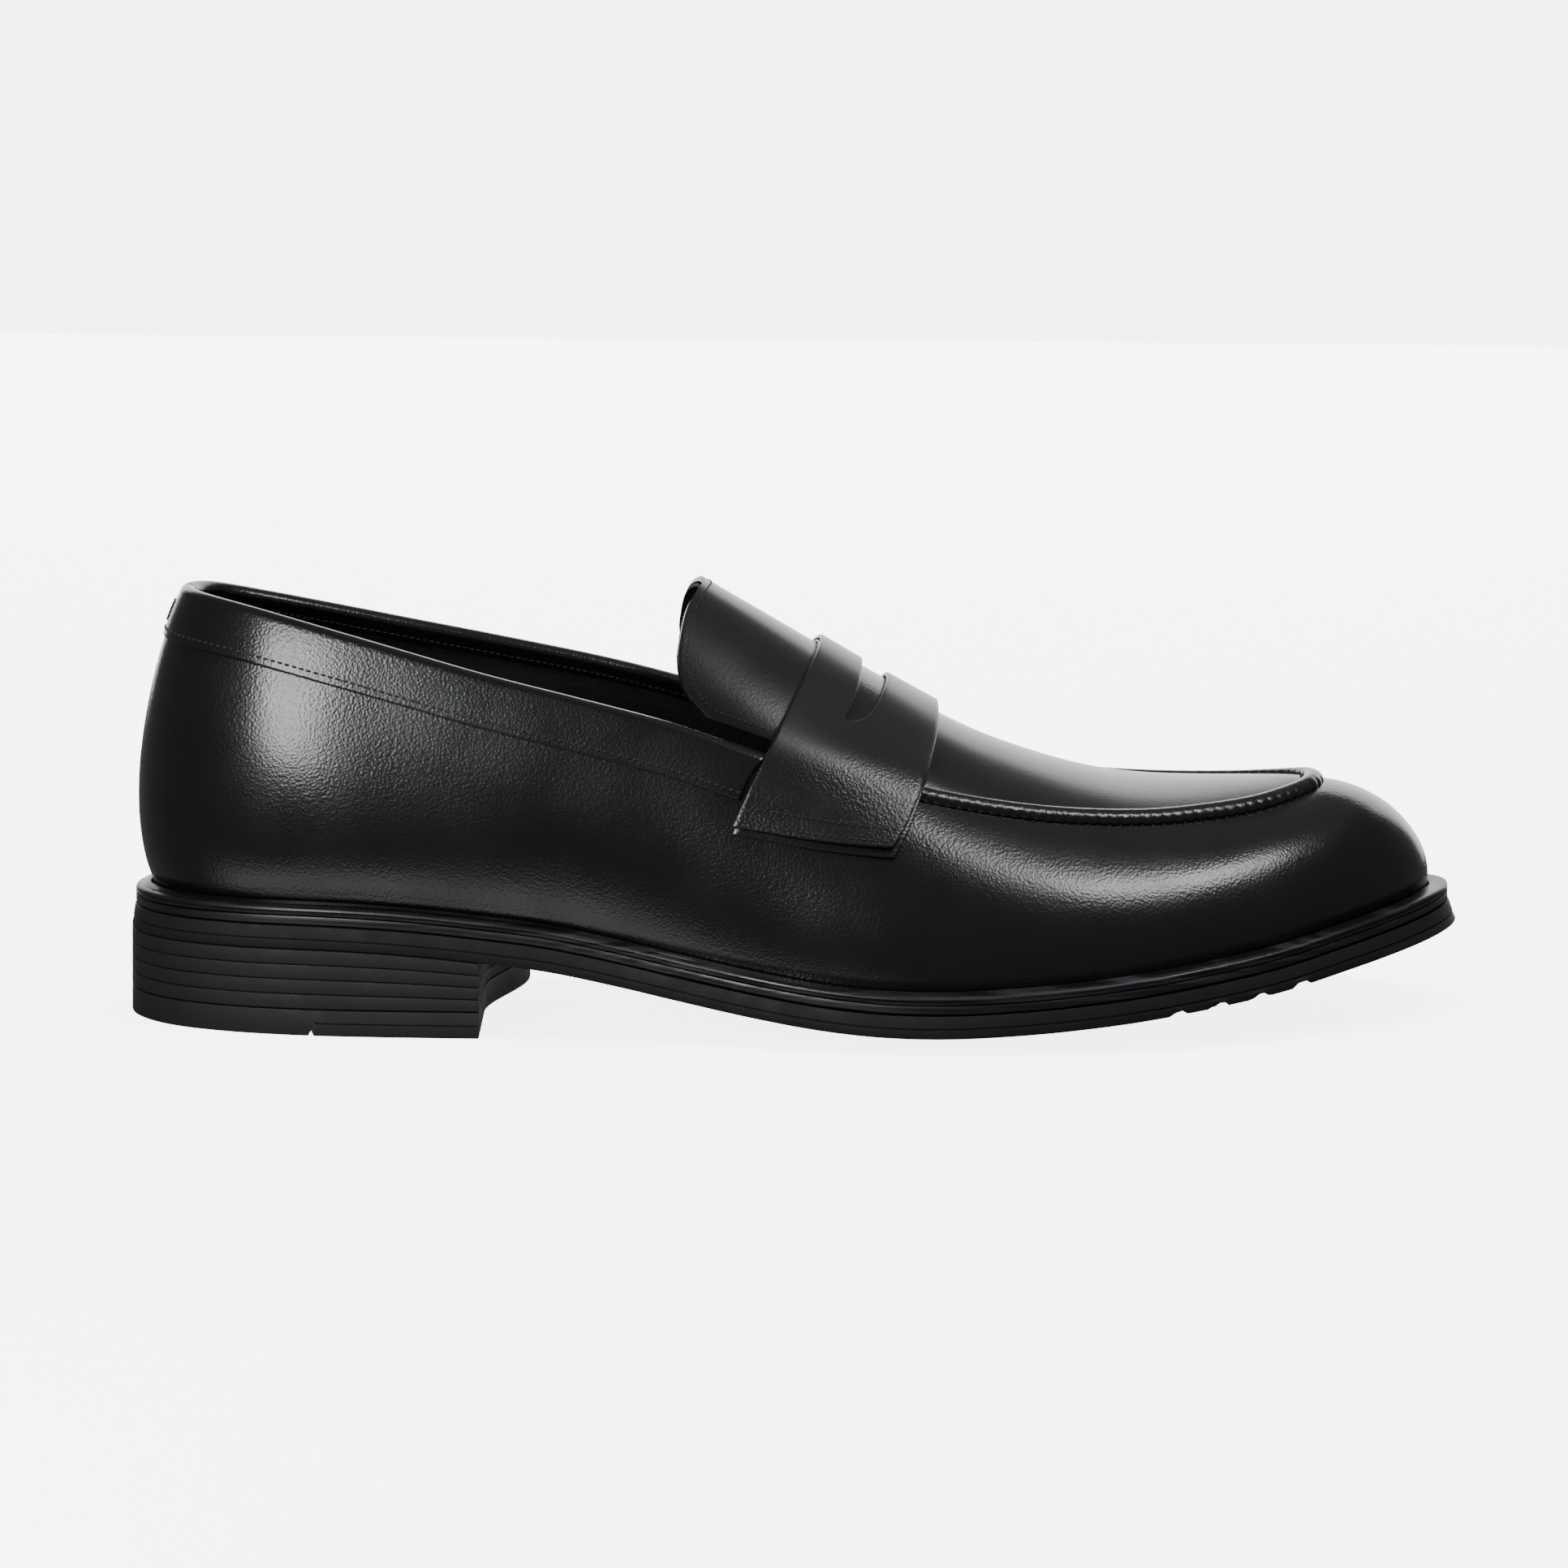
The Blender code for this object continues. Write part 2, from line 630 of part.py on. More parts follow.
def make_ridge():
    """Raised seam that joins apron and side wall round the toe."""
    start = u_at_s(lambda us: spline(LOOP, us)[:, 2:], RIDGE_START)
    us = start + (1 - 2 * start) * np.linspace(0, 1, 41)
    head = spline(LOOP, us)[:, 2:]
    inward = np.concatenate([-plan_normal(us, 2), np.zeros((len(us), 1))], axis=1)
    up = np.array([0.0, 0.0, 1.0])
    rise = seam_rise(us)
    centre = head + inward * RIDGE_IN + 0.5 * rise
    lean = unit(inward * APRON_IN + rise)
    rise = unit(up * APRON_IN - inward * rise[:, 2:])
    rings = []
    for angle in np.linspace(0, 2 * math.pi, RIDGE_SIDES + 1)[:-1]:
        across = RIDGE_HALF_WIDTH * math.cos(angle)
        height = (RIDGE_HEIGHT if math.sin(angle) > 0 else RIDGE_DEPTH) * math.sin(angle)
        rings.append(centre + lean * across + rise * height)
    tube = np.array(rings)
    count = len(us)
    faces = []
    for k in range(RIDGE_SIDES):
        above = (k + 1) % RIDGE_SIDES
        for i in range(count - 1):
            faces.append((k * count + i, k * count + i + 1, above * count + i + 1, above * count + i))
    for i in (0, count - 1):
        faces.append(tuple(k * count + i for k in range(RIDGE_SIDES)))
    add_object("moccasin_ridge", tube.reshape(-1, 3), faces, "upper")


def upper_hull(line):
    """Points of a cross-section that a strap pulled taut over it would touch, from side to side."""
    kept = []
    for point in line:
        while len(kept) > 1:
            a, b = kept[-2], kept[-1]
            if (b[1] - a[1]) * (point[2] - a[2]) - (b[2] - a[2]) * (point[1] - a[1]) < 0:
                break
            kept.pop()
        kept.append(point)
    return np.array(kept)


def strap_line(rear_share, drop_extra, front_extra, across):
    """One line of the strap from its lateral end to its medial end; rear_share is 0 at the rear edge."""
    drop = STRAP_DROP_REAR + (STRAP_DROP_FRONT - STRAP_DROP_REAR) * rear_share + drop_extra
    crown_part = np.linspace(0.05, 0.95, 31)

    def s_at(away):
        front = spline(STRAP_FRONT, away) + front_extra
        return spline(STRAP_REAR, away) + (front - spline(STRAP_REAR, away)) * rear_share

    line = []
    downward = (0.03, 0.15, 0.3, 0.45, 0.6, 0.8, 1.0)
    for side, part in ((-1, downward[::-1]), (1, downward)):
        points = []
        for share in part:
            s = s_at(1.0 + share)
            fixed = drop * share
            below = lambda us, d=fixed, k=side: wall_below_top(on_side(us, k), np.full(us.shape, d))
            u = u_at_s(below, s)
            points.append(wall_below_top(np.array([on_side(u, side)]), np.array([fixed]))[0])
        u_ridge = u_at_s(lambda us, k=side: spline(LOOP, on_side(us, k))[:, 2:], s_at(1.0))
        top = spline(LOOP, on_side(u_ridge, side))[2:]
        inward = np.append(-plan_normal(np.array([on_side(u_ridge, side)]), 2)[0], 0.0)
        crest = top + inward * 0.75 * RIDGE_IN + np.array([0.0, 0.0, STRAP_SEAM_ALLOWANCE])
        points.insert(len(part) if side < 0 else 0, crest)
        line.append(points)
    middle = [crown(crown_u_at(s_at(abs(2 * w - 1)), w), w) for w in crown_part]
    hull = upper_hull(np.array(line[0] + middle + line[1]))
    run = np.concatenate([[0], np.cumsum(np.linalg.norm(np.diff(hull, axis=0), axis=1))])
    at = np.linspace(0, run[-1], 3 * (across - 1) + 1)
    even = np.column_stack([np.interp(at, run, hull[:, axis]) for axis in range(3)])
    for _ in range(6):
        even[1:-1] = 0.25 * even[:-2] + 0.5 * even[1:-1] + 0.25 * even[2:]
    return even[::3]


def strap_grid(drop_extra, front_extra, lines=4, across=25):
    shares = np.linspace(0, 1, lines)
    return np.array([strap_line(share, drop_extra, front_extra, across) for share in shares])


def slot_cutter():
    """Crescent opening across the strap: an elliptic front edge and a flatter rear edge meet in two tips."""
    tip_s, tip_y = SLOT_TIP
    around = []
    for share in np.sin(np.linspace(-math.pi / 2, math.pi / 2, 15))[:-1]:
        around.append((tip_s + (SLOT_FRONT - tip_s) * math.sqrt(1 - share**2), tip_y * share))
    for share in np.linspace(1, -1, 13)[:-1]:
        around.append((tip_s + (SLOT_REAR - tip_s) * (1 - abs(share) ** SLOT_REAR_BEND), tip_y * share))
    low = np.array([(s, y, SLOT_LEVELS[0]) for s, y in around])
    high = np.array([(s, y, SLOT_LEVELS[1]) for s, y in around])
    count = len(around)
    faces = [tuple(range(count)), tuple(range(2 * count - 1, count - 1, -1))]
    for i in range(count):
        after = (i + 1) % count
        faces.append((i, after, count + after, count + i))
    cutter = add_object("slot_cutter", np.concatenate([low, high]), faces, "upper", False)
    return hide(cutter)


def hide(cutter):
    cutter.hide_render = True
    cutter.display_type = "WIRE"
    return cutter


def cut(target, cutter):
    step = target.modifiers.new("cut_" + cutter.name, "BOOLEAN")
    step.operation = "DIFFERENCE"
    step.solver = "EXACT"
    step.object = cutter


def make_strap():
    """Slotted strap over a thinner backing that shows as a lip below its ends."""
    backing = strap_grid(BACKING_LIP, BACKING_FRONT)
    shell("strap_backing", over(backing, BACKING_OVER), over(backing, BACKING_UNDER), "upper")
    strap = strap_grid(0.0, 0.0)
    piece = shell("saddle_strap", over(strap, STRAP_OVER), over(strap, STRAP_UNDER), "upper")
    cut(piece, slot_cutter())


def make_welt():
    """Rim round the upper: stands beside the wall outside, and reaches in under its turned edge."""
    base = RING_U
    section = (
        (-WELT_UNDER, WELT_BOTTOM),
        (None, WELT_BOTTOM),
        (None, WELT_OUTER_TOP),
        (0.45, WELT_INNER_TOP - 0.2),
        (0.35, WELT_STEP),
        (-WELT_UNDER, WELT_STEP),
    )
    rings = []
    for out, level in section:
        distance = rim(base) if out is None else np.full(base.shape, out)
        rings.append(lifted(outline(base, distance), level))
    tube = np.array(rings)
    rows, count = tube.shape[:2]
    faces = []
    for k in range(rows):
        for i in range(count):
            a, b = k * count + i, k * count + (i + 1) % count
            c, d = ((k + 1) % rows) * count + (i + 1) % count, ((k + 1) % rows) * count + i
            faces.append((a, b, c, d))
    add_object("welt", tube.reshape(-1, 3), faces, "edge")


def breast_lean(w):
    """The front face of the heel is straight across the lateral half and swings forward medially."""
    return smooth_step(0.42, 1.0, w)


def heel_plate(name, low, high, look):
    """Slice of the heel between two levels, each a function of s."""
    u = np.linspace(0.0, 0.5, 200)
    lateral, medial = bottom_outline(u, 1.0), bottom_outline(1 - u, 1.0)
    end_l = np.interp(BREAST_LATERAL, lateral[:, 0], u)
    end_m = np.interp(BREAST_MEDIAL, medial[:, 0], u)
    run = eased(11, 0.0, 0.62) / eased(2, 0.0, 0.62)[-1]
    grids = []
    for level in (high, low):
        flare = HEEL_FLARE * (1 - level(np.array([0.0]))[0] / HEEL_HEIGHT)
        left = bottom_outline(end_l * run, 1.0, -flare)
        right = bottom_outline(1 - end_m * run, 1.0, -flare)
        plan = ladder(left, right, 6, breast_lean)
        grids.append(np.concatenate([plan, level(plan[..., 0])[..., None]], axis=-1))
    return shell(name, grids[0], grids[1], look)


def lift_top(share):
    """Level above the top piece; the lifts thin together towards the breast as the sole comes down."""
    return lambda s: TOP_PIECE_HEIGHT + (spline(EDGE, s) - TOP_PIECE_HEIGHT) * share


def lowered(level, depth):
    return lambda s: level(s) - depth


def make_heel():
    """Top piece on the ground and four stacked lifts, widening slightly downward."""
    made = []
    for number in range(LIFTS):
        low, high = lift_top(number / LIFTS), lift_top((number + 1) / LIFTS)
        made.append(heel_plate(f"heel_lift_{number + 1}", low, lowered(high, GAP), "rubber"))
    heel_plate("top_piece", lambda s: np.zeros(np.shape(s)), lowered(lift_top(0.0), GAP), "rubber")
    return made


def turned(name, rows, segments, look):
    """Solids turned about vertical axes, in one object: each row is (s, y) and its (radius, z) profile."""
    points, faces = [], []
    for (s, y), profile in rows:
        start = len(points)
        for radius, z in profile:
            for k in range(segments):
                angle = 2 * math.pi * k / segments
                points.append((s + radius * math.cos(angle), y + radius * math.sin(angle), z))
        for row in range(len(profile) - 1):
            for k in range(segments):
                a, b = start + row * segments + k, start + row * segments + (k + 1) % segments
                faces.append((a, b, b + segments, a + segments))
        last = start + (len(profile) - 1) * segments
        faces.append(tuple(start + k for k in reversed(range(segments))))
        faces.append(tuple(last + k for k in range(segments)))
    return add_object(name, np.array(points), faces, look)


def nail_profile(spot, extra):
    """Nail through the outsole and the upper lifts, its head let into the outsole's top face."""
    seat = float(bottom_z(spot[0], spot[1], OUTSOLE[1]))
    under_head = seat - NAIL_HEAD_DEPTH - extra
    return (
        (NAIL_RADIUS + extra, NAIL_TIP - extra),
        (NAIL_RADIUS + extra, under_head),
        (NAIL_HEAD_RADIUS + extra, under_head),
        (NAIL_HEAD_RADIUS + extra, seat - 0.2 + 8 * extra),
    )


def make_nails(cut_pieces):
    for number, spot in enumerate(NAIL_SPOTS, 1):
        turned(f"heel_nail_{number}", [(spot, nail_profile(spot, 0.0))], NAIL_SIDES, "steel")
    holes = [(spot, nail_profile(spot, GAP)) for spot in NAIL_SPOTS]
    cutter = hide(turned("nail_cutter", holes, NAIL_SIDES, "steel"))
    for piece in cut_pieces:
        cut(piece, cutter)


def make_shank():
    """Steel strip under the insole from the heel seat to the ball."""
    s = np.linspace(*SHANK_ENDS, 12)
    middle = 0.5 * sum(SHANK_ENDS)
    reach = middle - SHANK_ENDS[0] + 2.0
    half_width = SHANK_HALF_WIDTH * np.sqrt(1 - ((s - middle) / reach) ** 4)
    grids = []
    for level in (SHANK[1], SHANK[0]):
        plan = np.stack([np.stack([s, half_width * side], axis=-1) for side in (-1, 0, 1)], axis=1)
        grids.append(lifted(plan, level))
    shell("steel_shank", grids[0], grids[1], "steel")


def pad_rise(s):
    """How far the heel pad lifts the sock lining."""
    return PAD_RISE * (1 - smooth_step(*PAD_FADE, s))


def make_bottom():
    """Sole layers, welt, fillers, shank, insole board and what lies on it."""
    bottom_plate("midsole", *MIDSOLE, "edge")
    outsole = bottom_plate("outsole", *OUTSOLE, "rubber", lip=(1.0, 0.45))
    make_welt()
    inner_plate("seat_filler", *FILLER, "cork", WELT_UNDER + 2.4, (16.0, 56.0), 4, 9)
    inner_plate("cork_filler", *FILLER, "cork", WELT_UNDER + 2.4, (151.0, 282.0), 6, 16)
    make_shank()
    inner_plate("insole_board", *INSOLE, "board", 3.4, (3.0, 293.0), 5, 22)
    low, high = SOCK
    pad_top = lambda s: low + pad_rise(s) - 2 * GAP
    inner_plate("heel_pad", low, pad_top, "foam", 8.0, (14.0, 75.0), 5, 12)
    sock_bottom = lambda s: low + pad_rise(s)
    sock_top = lambda s: high + pad_rise(s)
    inner_plate("sock_lining", sock_bottom, sock_top, "lining", 5.0, (4.0, 291.0), 5, 22)
    return outsole


def main():
    clear_scene()
    make_vamp_quarter()
    make_linings()
    make_stiffeners()
    make_collar("collar_lateral", -1)
    make_collar("collar_medial", 1)
    make_apron()
    make_tongue()
    make_ridge()
    make_strap()
    outsole = make_bottom()
    lifts = make_heel()
    make_nails([outsole, *lifts])


main()
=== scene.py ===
"""Looks of the penny loafer: leather, linings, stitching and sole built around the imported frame.

Shapes are worked out in millimetres with s along the shoe from the back of the heel, y from the outer
side to the inner side and z up from the ground; place() brings them into the frame, in metres.
"""

import math

import bmesh
import bpy
import numpy as np
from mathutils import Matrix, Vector


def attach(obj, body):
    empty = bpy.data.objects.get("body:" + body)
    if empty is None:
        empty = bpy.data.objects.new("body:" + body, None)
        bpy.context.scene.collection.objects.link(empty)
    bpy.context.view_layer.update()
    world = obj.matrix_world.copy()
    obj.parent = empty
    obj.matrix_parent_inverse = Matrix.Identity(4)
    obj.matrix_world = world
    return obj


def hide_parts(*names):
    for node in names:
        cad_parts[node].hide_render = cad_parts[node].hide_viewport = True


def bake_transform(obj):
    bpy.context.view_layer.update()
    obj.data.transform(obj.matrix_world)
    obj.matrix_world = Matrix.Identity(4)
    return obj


MM = 0.001
LENGTH = 300.0

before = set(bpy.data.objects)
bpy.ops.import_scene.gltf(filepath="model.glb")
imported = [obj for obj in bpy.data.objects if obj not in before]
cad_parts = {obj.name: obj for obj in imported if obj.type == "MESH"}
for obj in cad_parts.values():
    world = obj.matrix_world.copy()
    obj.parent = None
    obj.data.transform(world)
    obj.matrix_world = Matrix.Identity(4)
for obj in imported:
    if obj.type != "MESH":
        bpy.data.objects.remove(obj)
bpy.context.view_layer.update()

# ---------------------------------------------------------------- measures, in millimetres

OUTSOLE = (0.0, 5.15)
MIDSOLE = (5.45, 7.4)
WELT_BOTTOM = 7.6
WELT_STEP = 8.7
WELT_INNER_TOP = 10.6
FLANGE_BOTTOM = 9.0
FEATHER_LEVEL = 11.0
SOCK = (13.3, 14.3)
LEATHER = 1.3
LINING = 0.8
FLANGE_WIDTH = 8.0
WELT_UNDER = 7.0
LINING_DROP = 1.85
COLLAR_DROP = 12.0
COLLAR_TRIM = 2.0
RIDGE_HALF_WIDTH = 2.2
RIDGE_IN = 2.3
RIDGE_START = 165.0
APRON_IN = 5.0
APRON_END = 0.4945
HEEL_HEIGHT = 19.3
TOP_PIECE_HEIGHT = 6.1
LIFTS = 4
BREAST_LATERAL = 80.2
BREAST_MEDIAL = 89.0
STRAP_DROP_REAR = 18.6
STRAP_DROP_FRONT = 11.5
SLOT_REAR = 165.4
SLOT_FRONT = 171.1
SLOT_TIP = (161.5, 25.8)
SLOT_REAR_BEND = 2.6
STRAP_OVER = 2.6
STRAP_THICK = 1.2
UNDERLAY_OVER = 1.1
UNDERLAY_THICK = 0.5
SEAM_ALLOWANCE = 4.0
SEAM_PITCH = 2.5
SEAM_SIDES = 20
COLLAR_OUT = 1.2
COLLAR_BACK = 0.5
COLLAR_HALF = 2.0
COLLAR_THICK = 0.8
COLLAR_ROWS = 14
FACING_ROWS = 5
COLLAR_SEAM = 0.00045
TACK_THREADS = 9
TACK_DROP = 4.4
TACK_STEP = 0.5
TACK_WIDTH = 2.7
TONGUE_INSET = 1.9
TONGUE_MIDDLE_S = 150.0
TURN_RADIUS = 1.7
LINING_TRIM = 1.9
LINING_START = 0.505
TREAD_PITCH = 8.0
TREAD_WIDTH = 1.4
TREAD_DEPTH = 0.9
TREAD_SPAN = (183.5, 284.5)
TREAD_OPEN = (238.5, 270.5)
HEEL_FLARE = 0.3
TIP_SPLIT = 42.8
TIP_GROOVE = (2.75, 3.05)
NAIL_SPOTS = ((16.0, 0.0), (30.0, -17.0), (30.0, 17.0), (58.0, -20.0), (58.0, 20.0))
NAIL_TIP = 7.5
NAIL_RADIUS = 1.2
NAIL_HEAD_RADIUS = 2.5
NAIL_HEAD_HEIGHT = 1.4
NAIL_CLEAR = 0.3
NAIL_SIDES = 16
# Line between the widest points of the sole, which stands on the origin.
CENTRE_Y = -1.35
# Steps round the closed curves, round the upper, and rows of a plate's side that its underside reshapes.
DENSE = 720
COLUMNS = 420
CORNER_ROWS = 3

# Camera and studio, in metres.
AIM = Vector((-0.0023, 0.0, 0.0514))
DISTANCE = 1.5
ELEVATION = math.radians(9.8)
LENS = 153.0
PAPER_GLOW = 4.8
PAPER_SIDES = 96
SWEEP_FLOOR = 1.9
SWEEP_BEND = 0.6
SWEEP_TOP = 2.6
FILL = 0.15

# ---------------------------------------------------------------- shape tables

# Feather line (s, y), and the top edge of the side wall (s, y, z) above the same place.
LATERAL = (
    ((5.2, 0.0), (14.0, 0.0, 97.4)),
    ((7.0, -8.0), (15.0, -5.5, 97.2)),
    ((13.0, -16.2), (19.1, -11.5, 96.6)),
    ((25.0, -23.3), (29.1, -17.2, 94.6)),
    ((42.0, -28.3), (44.0, -21.8, 90.9)),
    ((60.0, -30.6), (61.0, -25.2, 86.4)),
    ((80.0, -32.0), (80.0, -28.3, 81.3)),
    ((107.0, -34.0), (104.0, -31.2, 75.6)),
    ((125.0, -37.0), (121.0, -32.8, 71.4)),
    ((143.0, -41.5), (138.0, -34.2, 65.9)),
    ((160.0, -45.5), (156.0, -34.8, 59.4)),
    ((182.0, -48.0), (178.0, -33.4, 52.8)),
    ((200.0, -47.6), (196.0, -30.8, 49.0)),
    ((219.0, -45.0), (213.0, -27.7, 46.8)),
    ((236.0, -40.6), (229.0, -24.0, 46.0)),
    ((251.0, -35.2), (242.0, -19.8, 46.5)),
    ((267.0, -26.8), (254.0, -15.0, 47.8)),
    ((280.5, -16.6), (263.0, -9.0, 49.8)),
    ((290.0, -5.5), (268.0, -3.0, 51.3)),
)
TOE = ((293.5, 4.0), (269.3, 3.5, 51.8))
MEDIAL = (
    ((7.0, 8.0), (15.0, 5.5, 97.2)),
    ((13.0, 16.2), (19.1, 11.5, 96.2)),
    ((25.0, 23.3), (29.1, 17.2, 93.4)),
    ((42.0, 28.0), (44.0, 21.8, 89.8)),
    ((60.0, 29.8), (61.0, 25.2, 85.9)),
    ((82.0, 29.6), (84.0, 28.0, 81.0)),
    ((106.0, 29.0), (110.0, 30.4, 75.2)),
    ((126.0, 30.4), (130.0, 31.8, 69.6)),
    ((146.0, 34.2), (148.0, 33.2, 62.8)),
    ((166.0, 39.4), (165.0, 33.4, 56.6)),
    ((188.0, 43.6), (186.0, 32.6, 51.0)),
    ((210.0, 45.2), (205.0, 31.2, 48.2)),
    ((232.0, 43.6), (223.0, 29.0, 47.0)),
    ((252.0, 38.8), (239.0, 26.0, 47.0)),
    ((269.0, 31.6), (252.0, 22.2, 47.9)),
    ((282.5, 22.2), (262.0, 16.0, 49.7)),
    ((291.0, 12.6), (267.6, 9.8, 51.2)),
)

# Along the half loop, 0 at the heel and 1 at the toe.
HANDLES = (
    (0.0, 5.2, 11.5, 12.5, 23.5),
    (0.08, 5.8, 12.0, 10.5, 23.0),
    (0.2, 5.0, 14.0, 7.5, 20.0),
    (0.38, 4.0, 15.0, 5.5, 17.0),
    (0.48, 2.5, 15.0, 5.5, 13.0),
    (0.6, 2.0, 14.0, 8.0, 7.0),
    (0.75, 1.5, 11.0, 9.5, 5.0),
    (0.9, 1.2, 8.5, 14.0, 3.0),
    (1.0, 1.0, 7.2, 17.5, 1.6),
)
SEAM_RISE = ((0.0, 2.4), (0.5, 2.6), (0.6, 3.0), (0.75, 2.8), (0.88, 2.2), (0.96, 1.0), (1.0, 0.6))
RIM = ((0.0, 3.9), (0.15, 3.0), (0.4, 3.4), (0.6, 5.4), (0.75, 5.6), (0.9, 4.7), (1.0, 4.6))
LIP = ((0.0, 1.0), (0.2, 0.6), (0.5, 0.5), (0.8, 0.8), (0.9, 1.3), (0.96, 1.8), (1.0, 1.9))

# Along s.
EDGE = (
    (-8.0, 19.3), (25.0, 19.4), (50.0, 19.2), (65.0, 18.4), (79.0, 17.1), (95.0, 15.2), (110.0, 12.4),
    (125.0, 9.4), (140.0, 6.8), (155.0, 4.8), (169.0, 3.75), (184.0, 3.65), (198.0, 4.3), (213.0, 5.4),
    (228.0, 6.9), (243.0, 8.9), (258.0, 11.2), (272.0, 14.1), (287.0, 17.0), (300.0, 19.5), (312.0, 21.6),
)
BELLY = (
    (-8.0, 0.0), (88.0, 0.0), (120.0, 1.5), (150.0, 3.1), (178.0, 3.6), (210.0, 3.3), (240.0, 2.6),
    (270.0, 1.4), (312.0, 0.3),
)
CREST = (
    (110.0, 109.6), (130.3, 97.7), (153.6, 84.0), (165.0, 77.2), (177.0, 70.3), (184.0, 66.4), (191.0, 63.0),
    (198.5, 60.0), (206.0, 57.4), (213.0, 55.3), (220.5, 53.6), (229.0, 52.5), (240.0, 52.1), (252.0, 52.3),
    (262.0, 52.6), (275.0, 52.6),
)
ARCH = ((110.0, 0.9), (170.0, 0.9), (200.0, 0.95), (215.0, 1.0), (275.0, 1.0))

# Across, from the middle (0) to the side of the crown (1) and down the wall (2).
STRAP_REAR = (
    (0.0, 155.2), (0.3, 154.4), (0.5, 152.9), (0.7, 150.7), (0.8, 149.3), (0.9, 147.5), (1.0, 145.5),
    (2.0, 136.4),
)
STRAP_FRONT = ((0.0, 181.1), (0.5, 181.1), (0.8, 180.0), (1.0, 178.6), (1.4, 175.8), (2.0, 171.4))
TONGUE_FREE = (
    (0.0, 130.3), (0.3, 128.2), (0.5, 126.2), (0.7, 124.8), (0.8, 124.3), (0.9, 125.1), (0.95, 126.6),
    (1.0, 130.8),
)

# ---------------------------------------------------------------- curves and surfaces


def spline(keys, at):
    """Smooth curve through rows of (position, value, ...), read at the positions asked for."""
    table = np.asarray(keys, float)
    where, values = table[:, 0], table[:, 1:]
    slopes = np.gradient(values, where, axis=0)
    flat = np.clip(np.ravel(at), where[0], where[-1])
    low = np.clip(np.searchsorted(where, flat, side="right") - 1, 0, len(where) - 2)
    span = where[low + 1] - where[low]
    t = ((flat - where[low]) / span)[:, None]
    span = span[:, None]
    ends = (1 + 2 * t) * (1 - t) ** 2 * values[low] + t**2 * (3 - 2 * t) * values[low + 1]
    bends = t * (1 - t) ** 2 * span * slopes[low] + t**2 * (t - 1) * span * slopes[low + 1]
    out = (ends + bends).reshape(*np.shape(at), values.shape[1])
    return out[..., 0] if values.shape[1] == 1 else out


def smooth_step(low, high, at):
    t = np.clip((np.asarray(at, float) - low) / (high - low), 0.0, 1.0)
    return t * t * (3 - 2 * t)


def unit(vectors):
    return vectors / np.maximum(np.linalg.norm(vectors, axis=-1, keepdims=True), 1e-9)


def half(u):
    """0 at the heel and 1 at the toe, on either side."""
    return 1.0 - np.abs(2.0 * np.mod(u, 1.0) - 1.0)


def blurred(values, sigma):
    """Values round a closed loop, smoothed so that a polished surface over them has no ripples."""
    reach = int(4 * sigma)
    weights = np.exp(-0.5 * (np.arange(-reach, reach + 1) / sigma) ** 2)
    weights /= weights.sum()
    shifts = range(-reach, reach + 1)
    return sum(weight * np.roll(values, shift, axis=0) for weight, shift in zip(weights, shifts))


def round_loop(values, sigma):
    """Table over u of a closed loop, with two rows more at each end."""
    once = blurred(values, sigma)
    values = 2 * once - blurred(once, sigma)
    index = np.arange(-2, DENSE + 3)
    return np.column_stack([index / DENSE, values[index % DENSE]])


def loop_table():
    """Feather and top edge as closed loops over u: 0 heel, 0.5 toe, 1 heel again."""
    outer = list(LATERAL) + [TOE]
    inner = [TOE] + list(reversed(MEDIAL)) + [LATERAL[0]]
    positions = []
    for start, side in ((0.0, outer), (0.5, inner)):
        plan = np.array([row[0] for row in side])
        run = np.concatenate([[0.0], np.cumsum(np.linalg.norm(np.diff(plan, axis=0), axis=1))])
        positions.append(start + 0.5 * run / run[-1])
    where = np.concatenate([positions[0], positions[1][1:]])
    table = np.column_stack([where, [(*row[0], *row[1]) for row in outer + inner[1:]]])
    step = np.array([1.0, 0, 0, 0, 0, 0])
    table = np.concatenate([table[-3:-1] - step, table, table[1:3] + step])
    return round_loop(spline(table, np.arange(DENSE) / DENSE), 5)


def half_table(keys):
    values = spline(keys, half(np.arange(DENSE) / DENSE))
    return round_loop(values.reshape(DENSE, -1), 8)


LOOP = loop_table()
WALL_HANDLES = half_table(HANDLES)
WALL_RISE = half_table(SEAM_RISE)
SOLE_RIM = half_table(RIM)
SOLE_LIP = half_table(LIP)


def plan_normal(u, first):
    """Outward direction in plan of the feather (first 0) or of the top edge (first 2)."""
    step = 0.003
    ahead = spline(LOOP, np.mod(u + step, 1.0))[..., first : first + 2]
    behind = spline(LOOP, np.mod(u - step, 1.0))[..., first : first + 2]
    along = unit(ahead - behind)
    return np.stack([along[..., 1], -along[..., 0]], axis=-1)


def outline(u, out=0.0):
    """Plan curve at a distance outside the feather line."""
    u = np.asarray(u, float)
    centre = spline(LOOP, np.mod(u, 1.0))[..., :2]
    return centre + plan_normal(u, 0) * np.asarray(out)[..., None]


def rim(u, lip=0.0):
    return spline(SOLE_RIM, np.mod(u, 1.0)) + lip * spline(SOLE_LIP, np.mod(u, 1.0))


def bottom_outline(u, lip=0.0, inset=0.0):
    return outline(u, rim(u, lip) - inset)


SIDE_U = np.linspace(0.0, 0.5, 300)
SIDES = (bottom_outline(SIDE_U), bottom_outline(1.0 - SIDE_U))


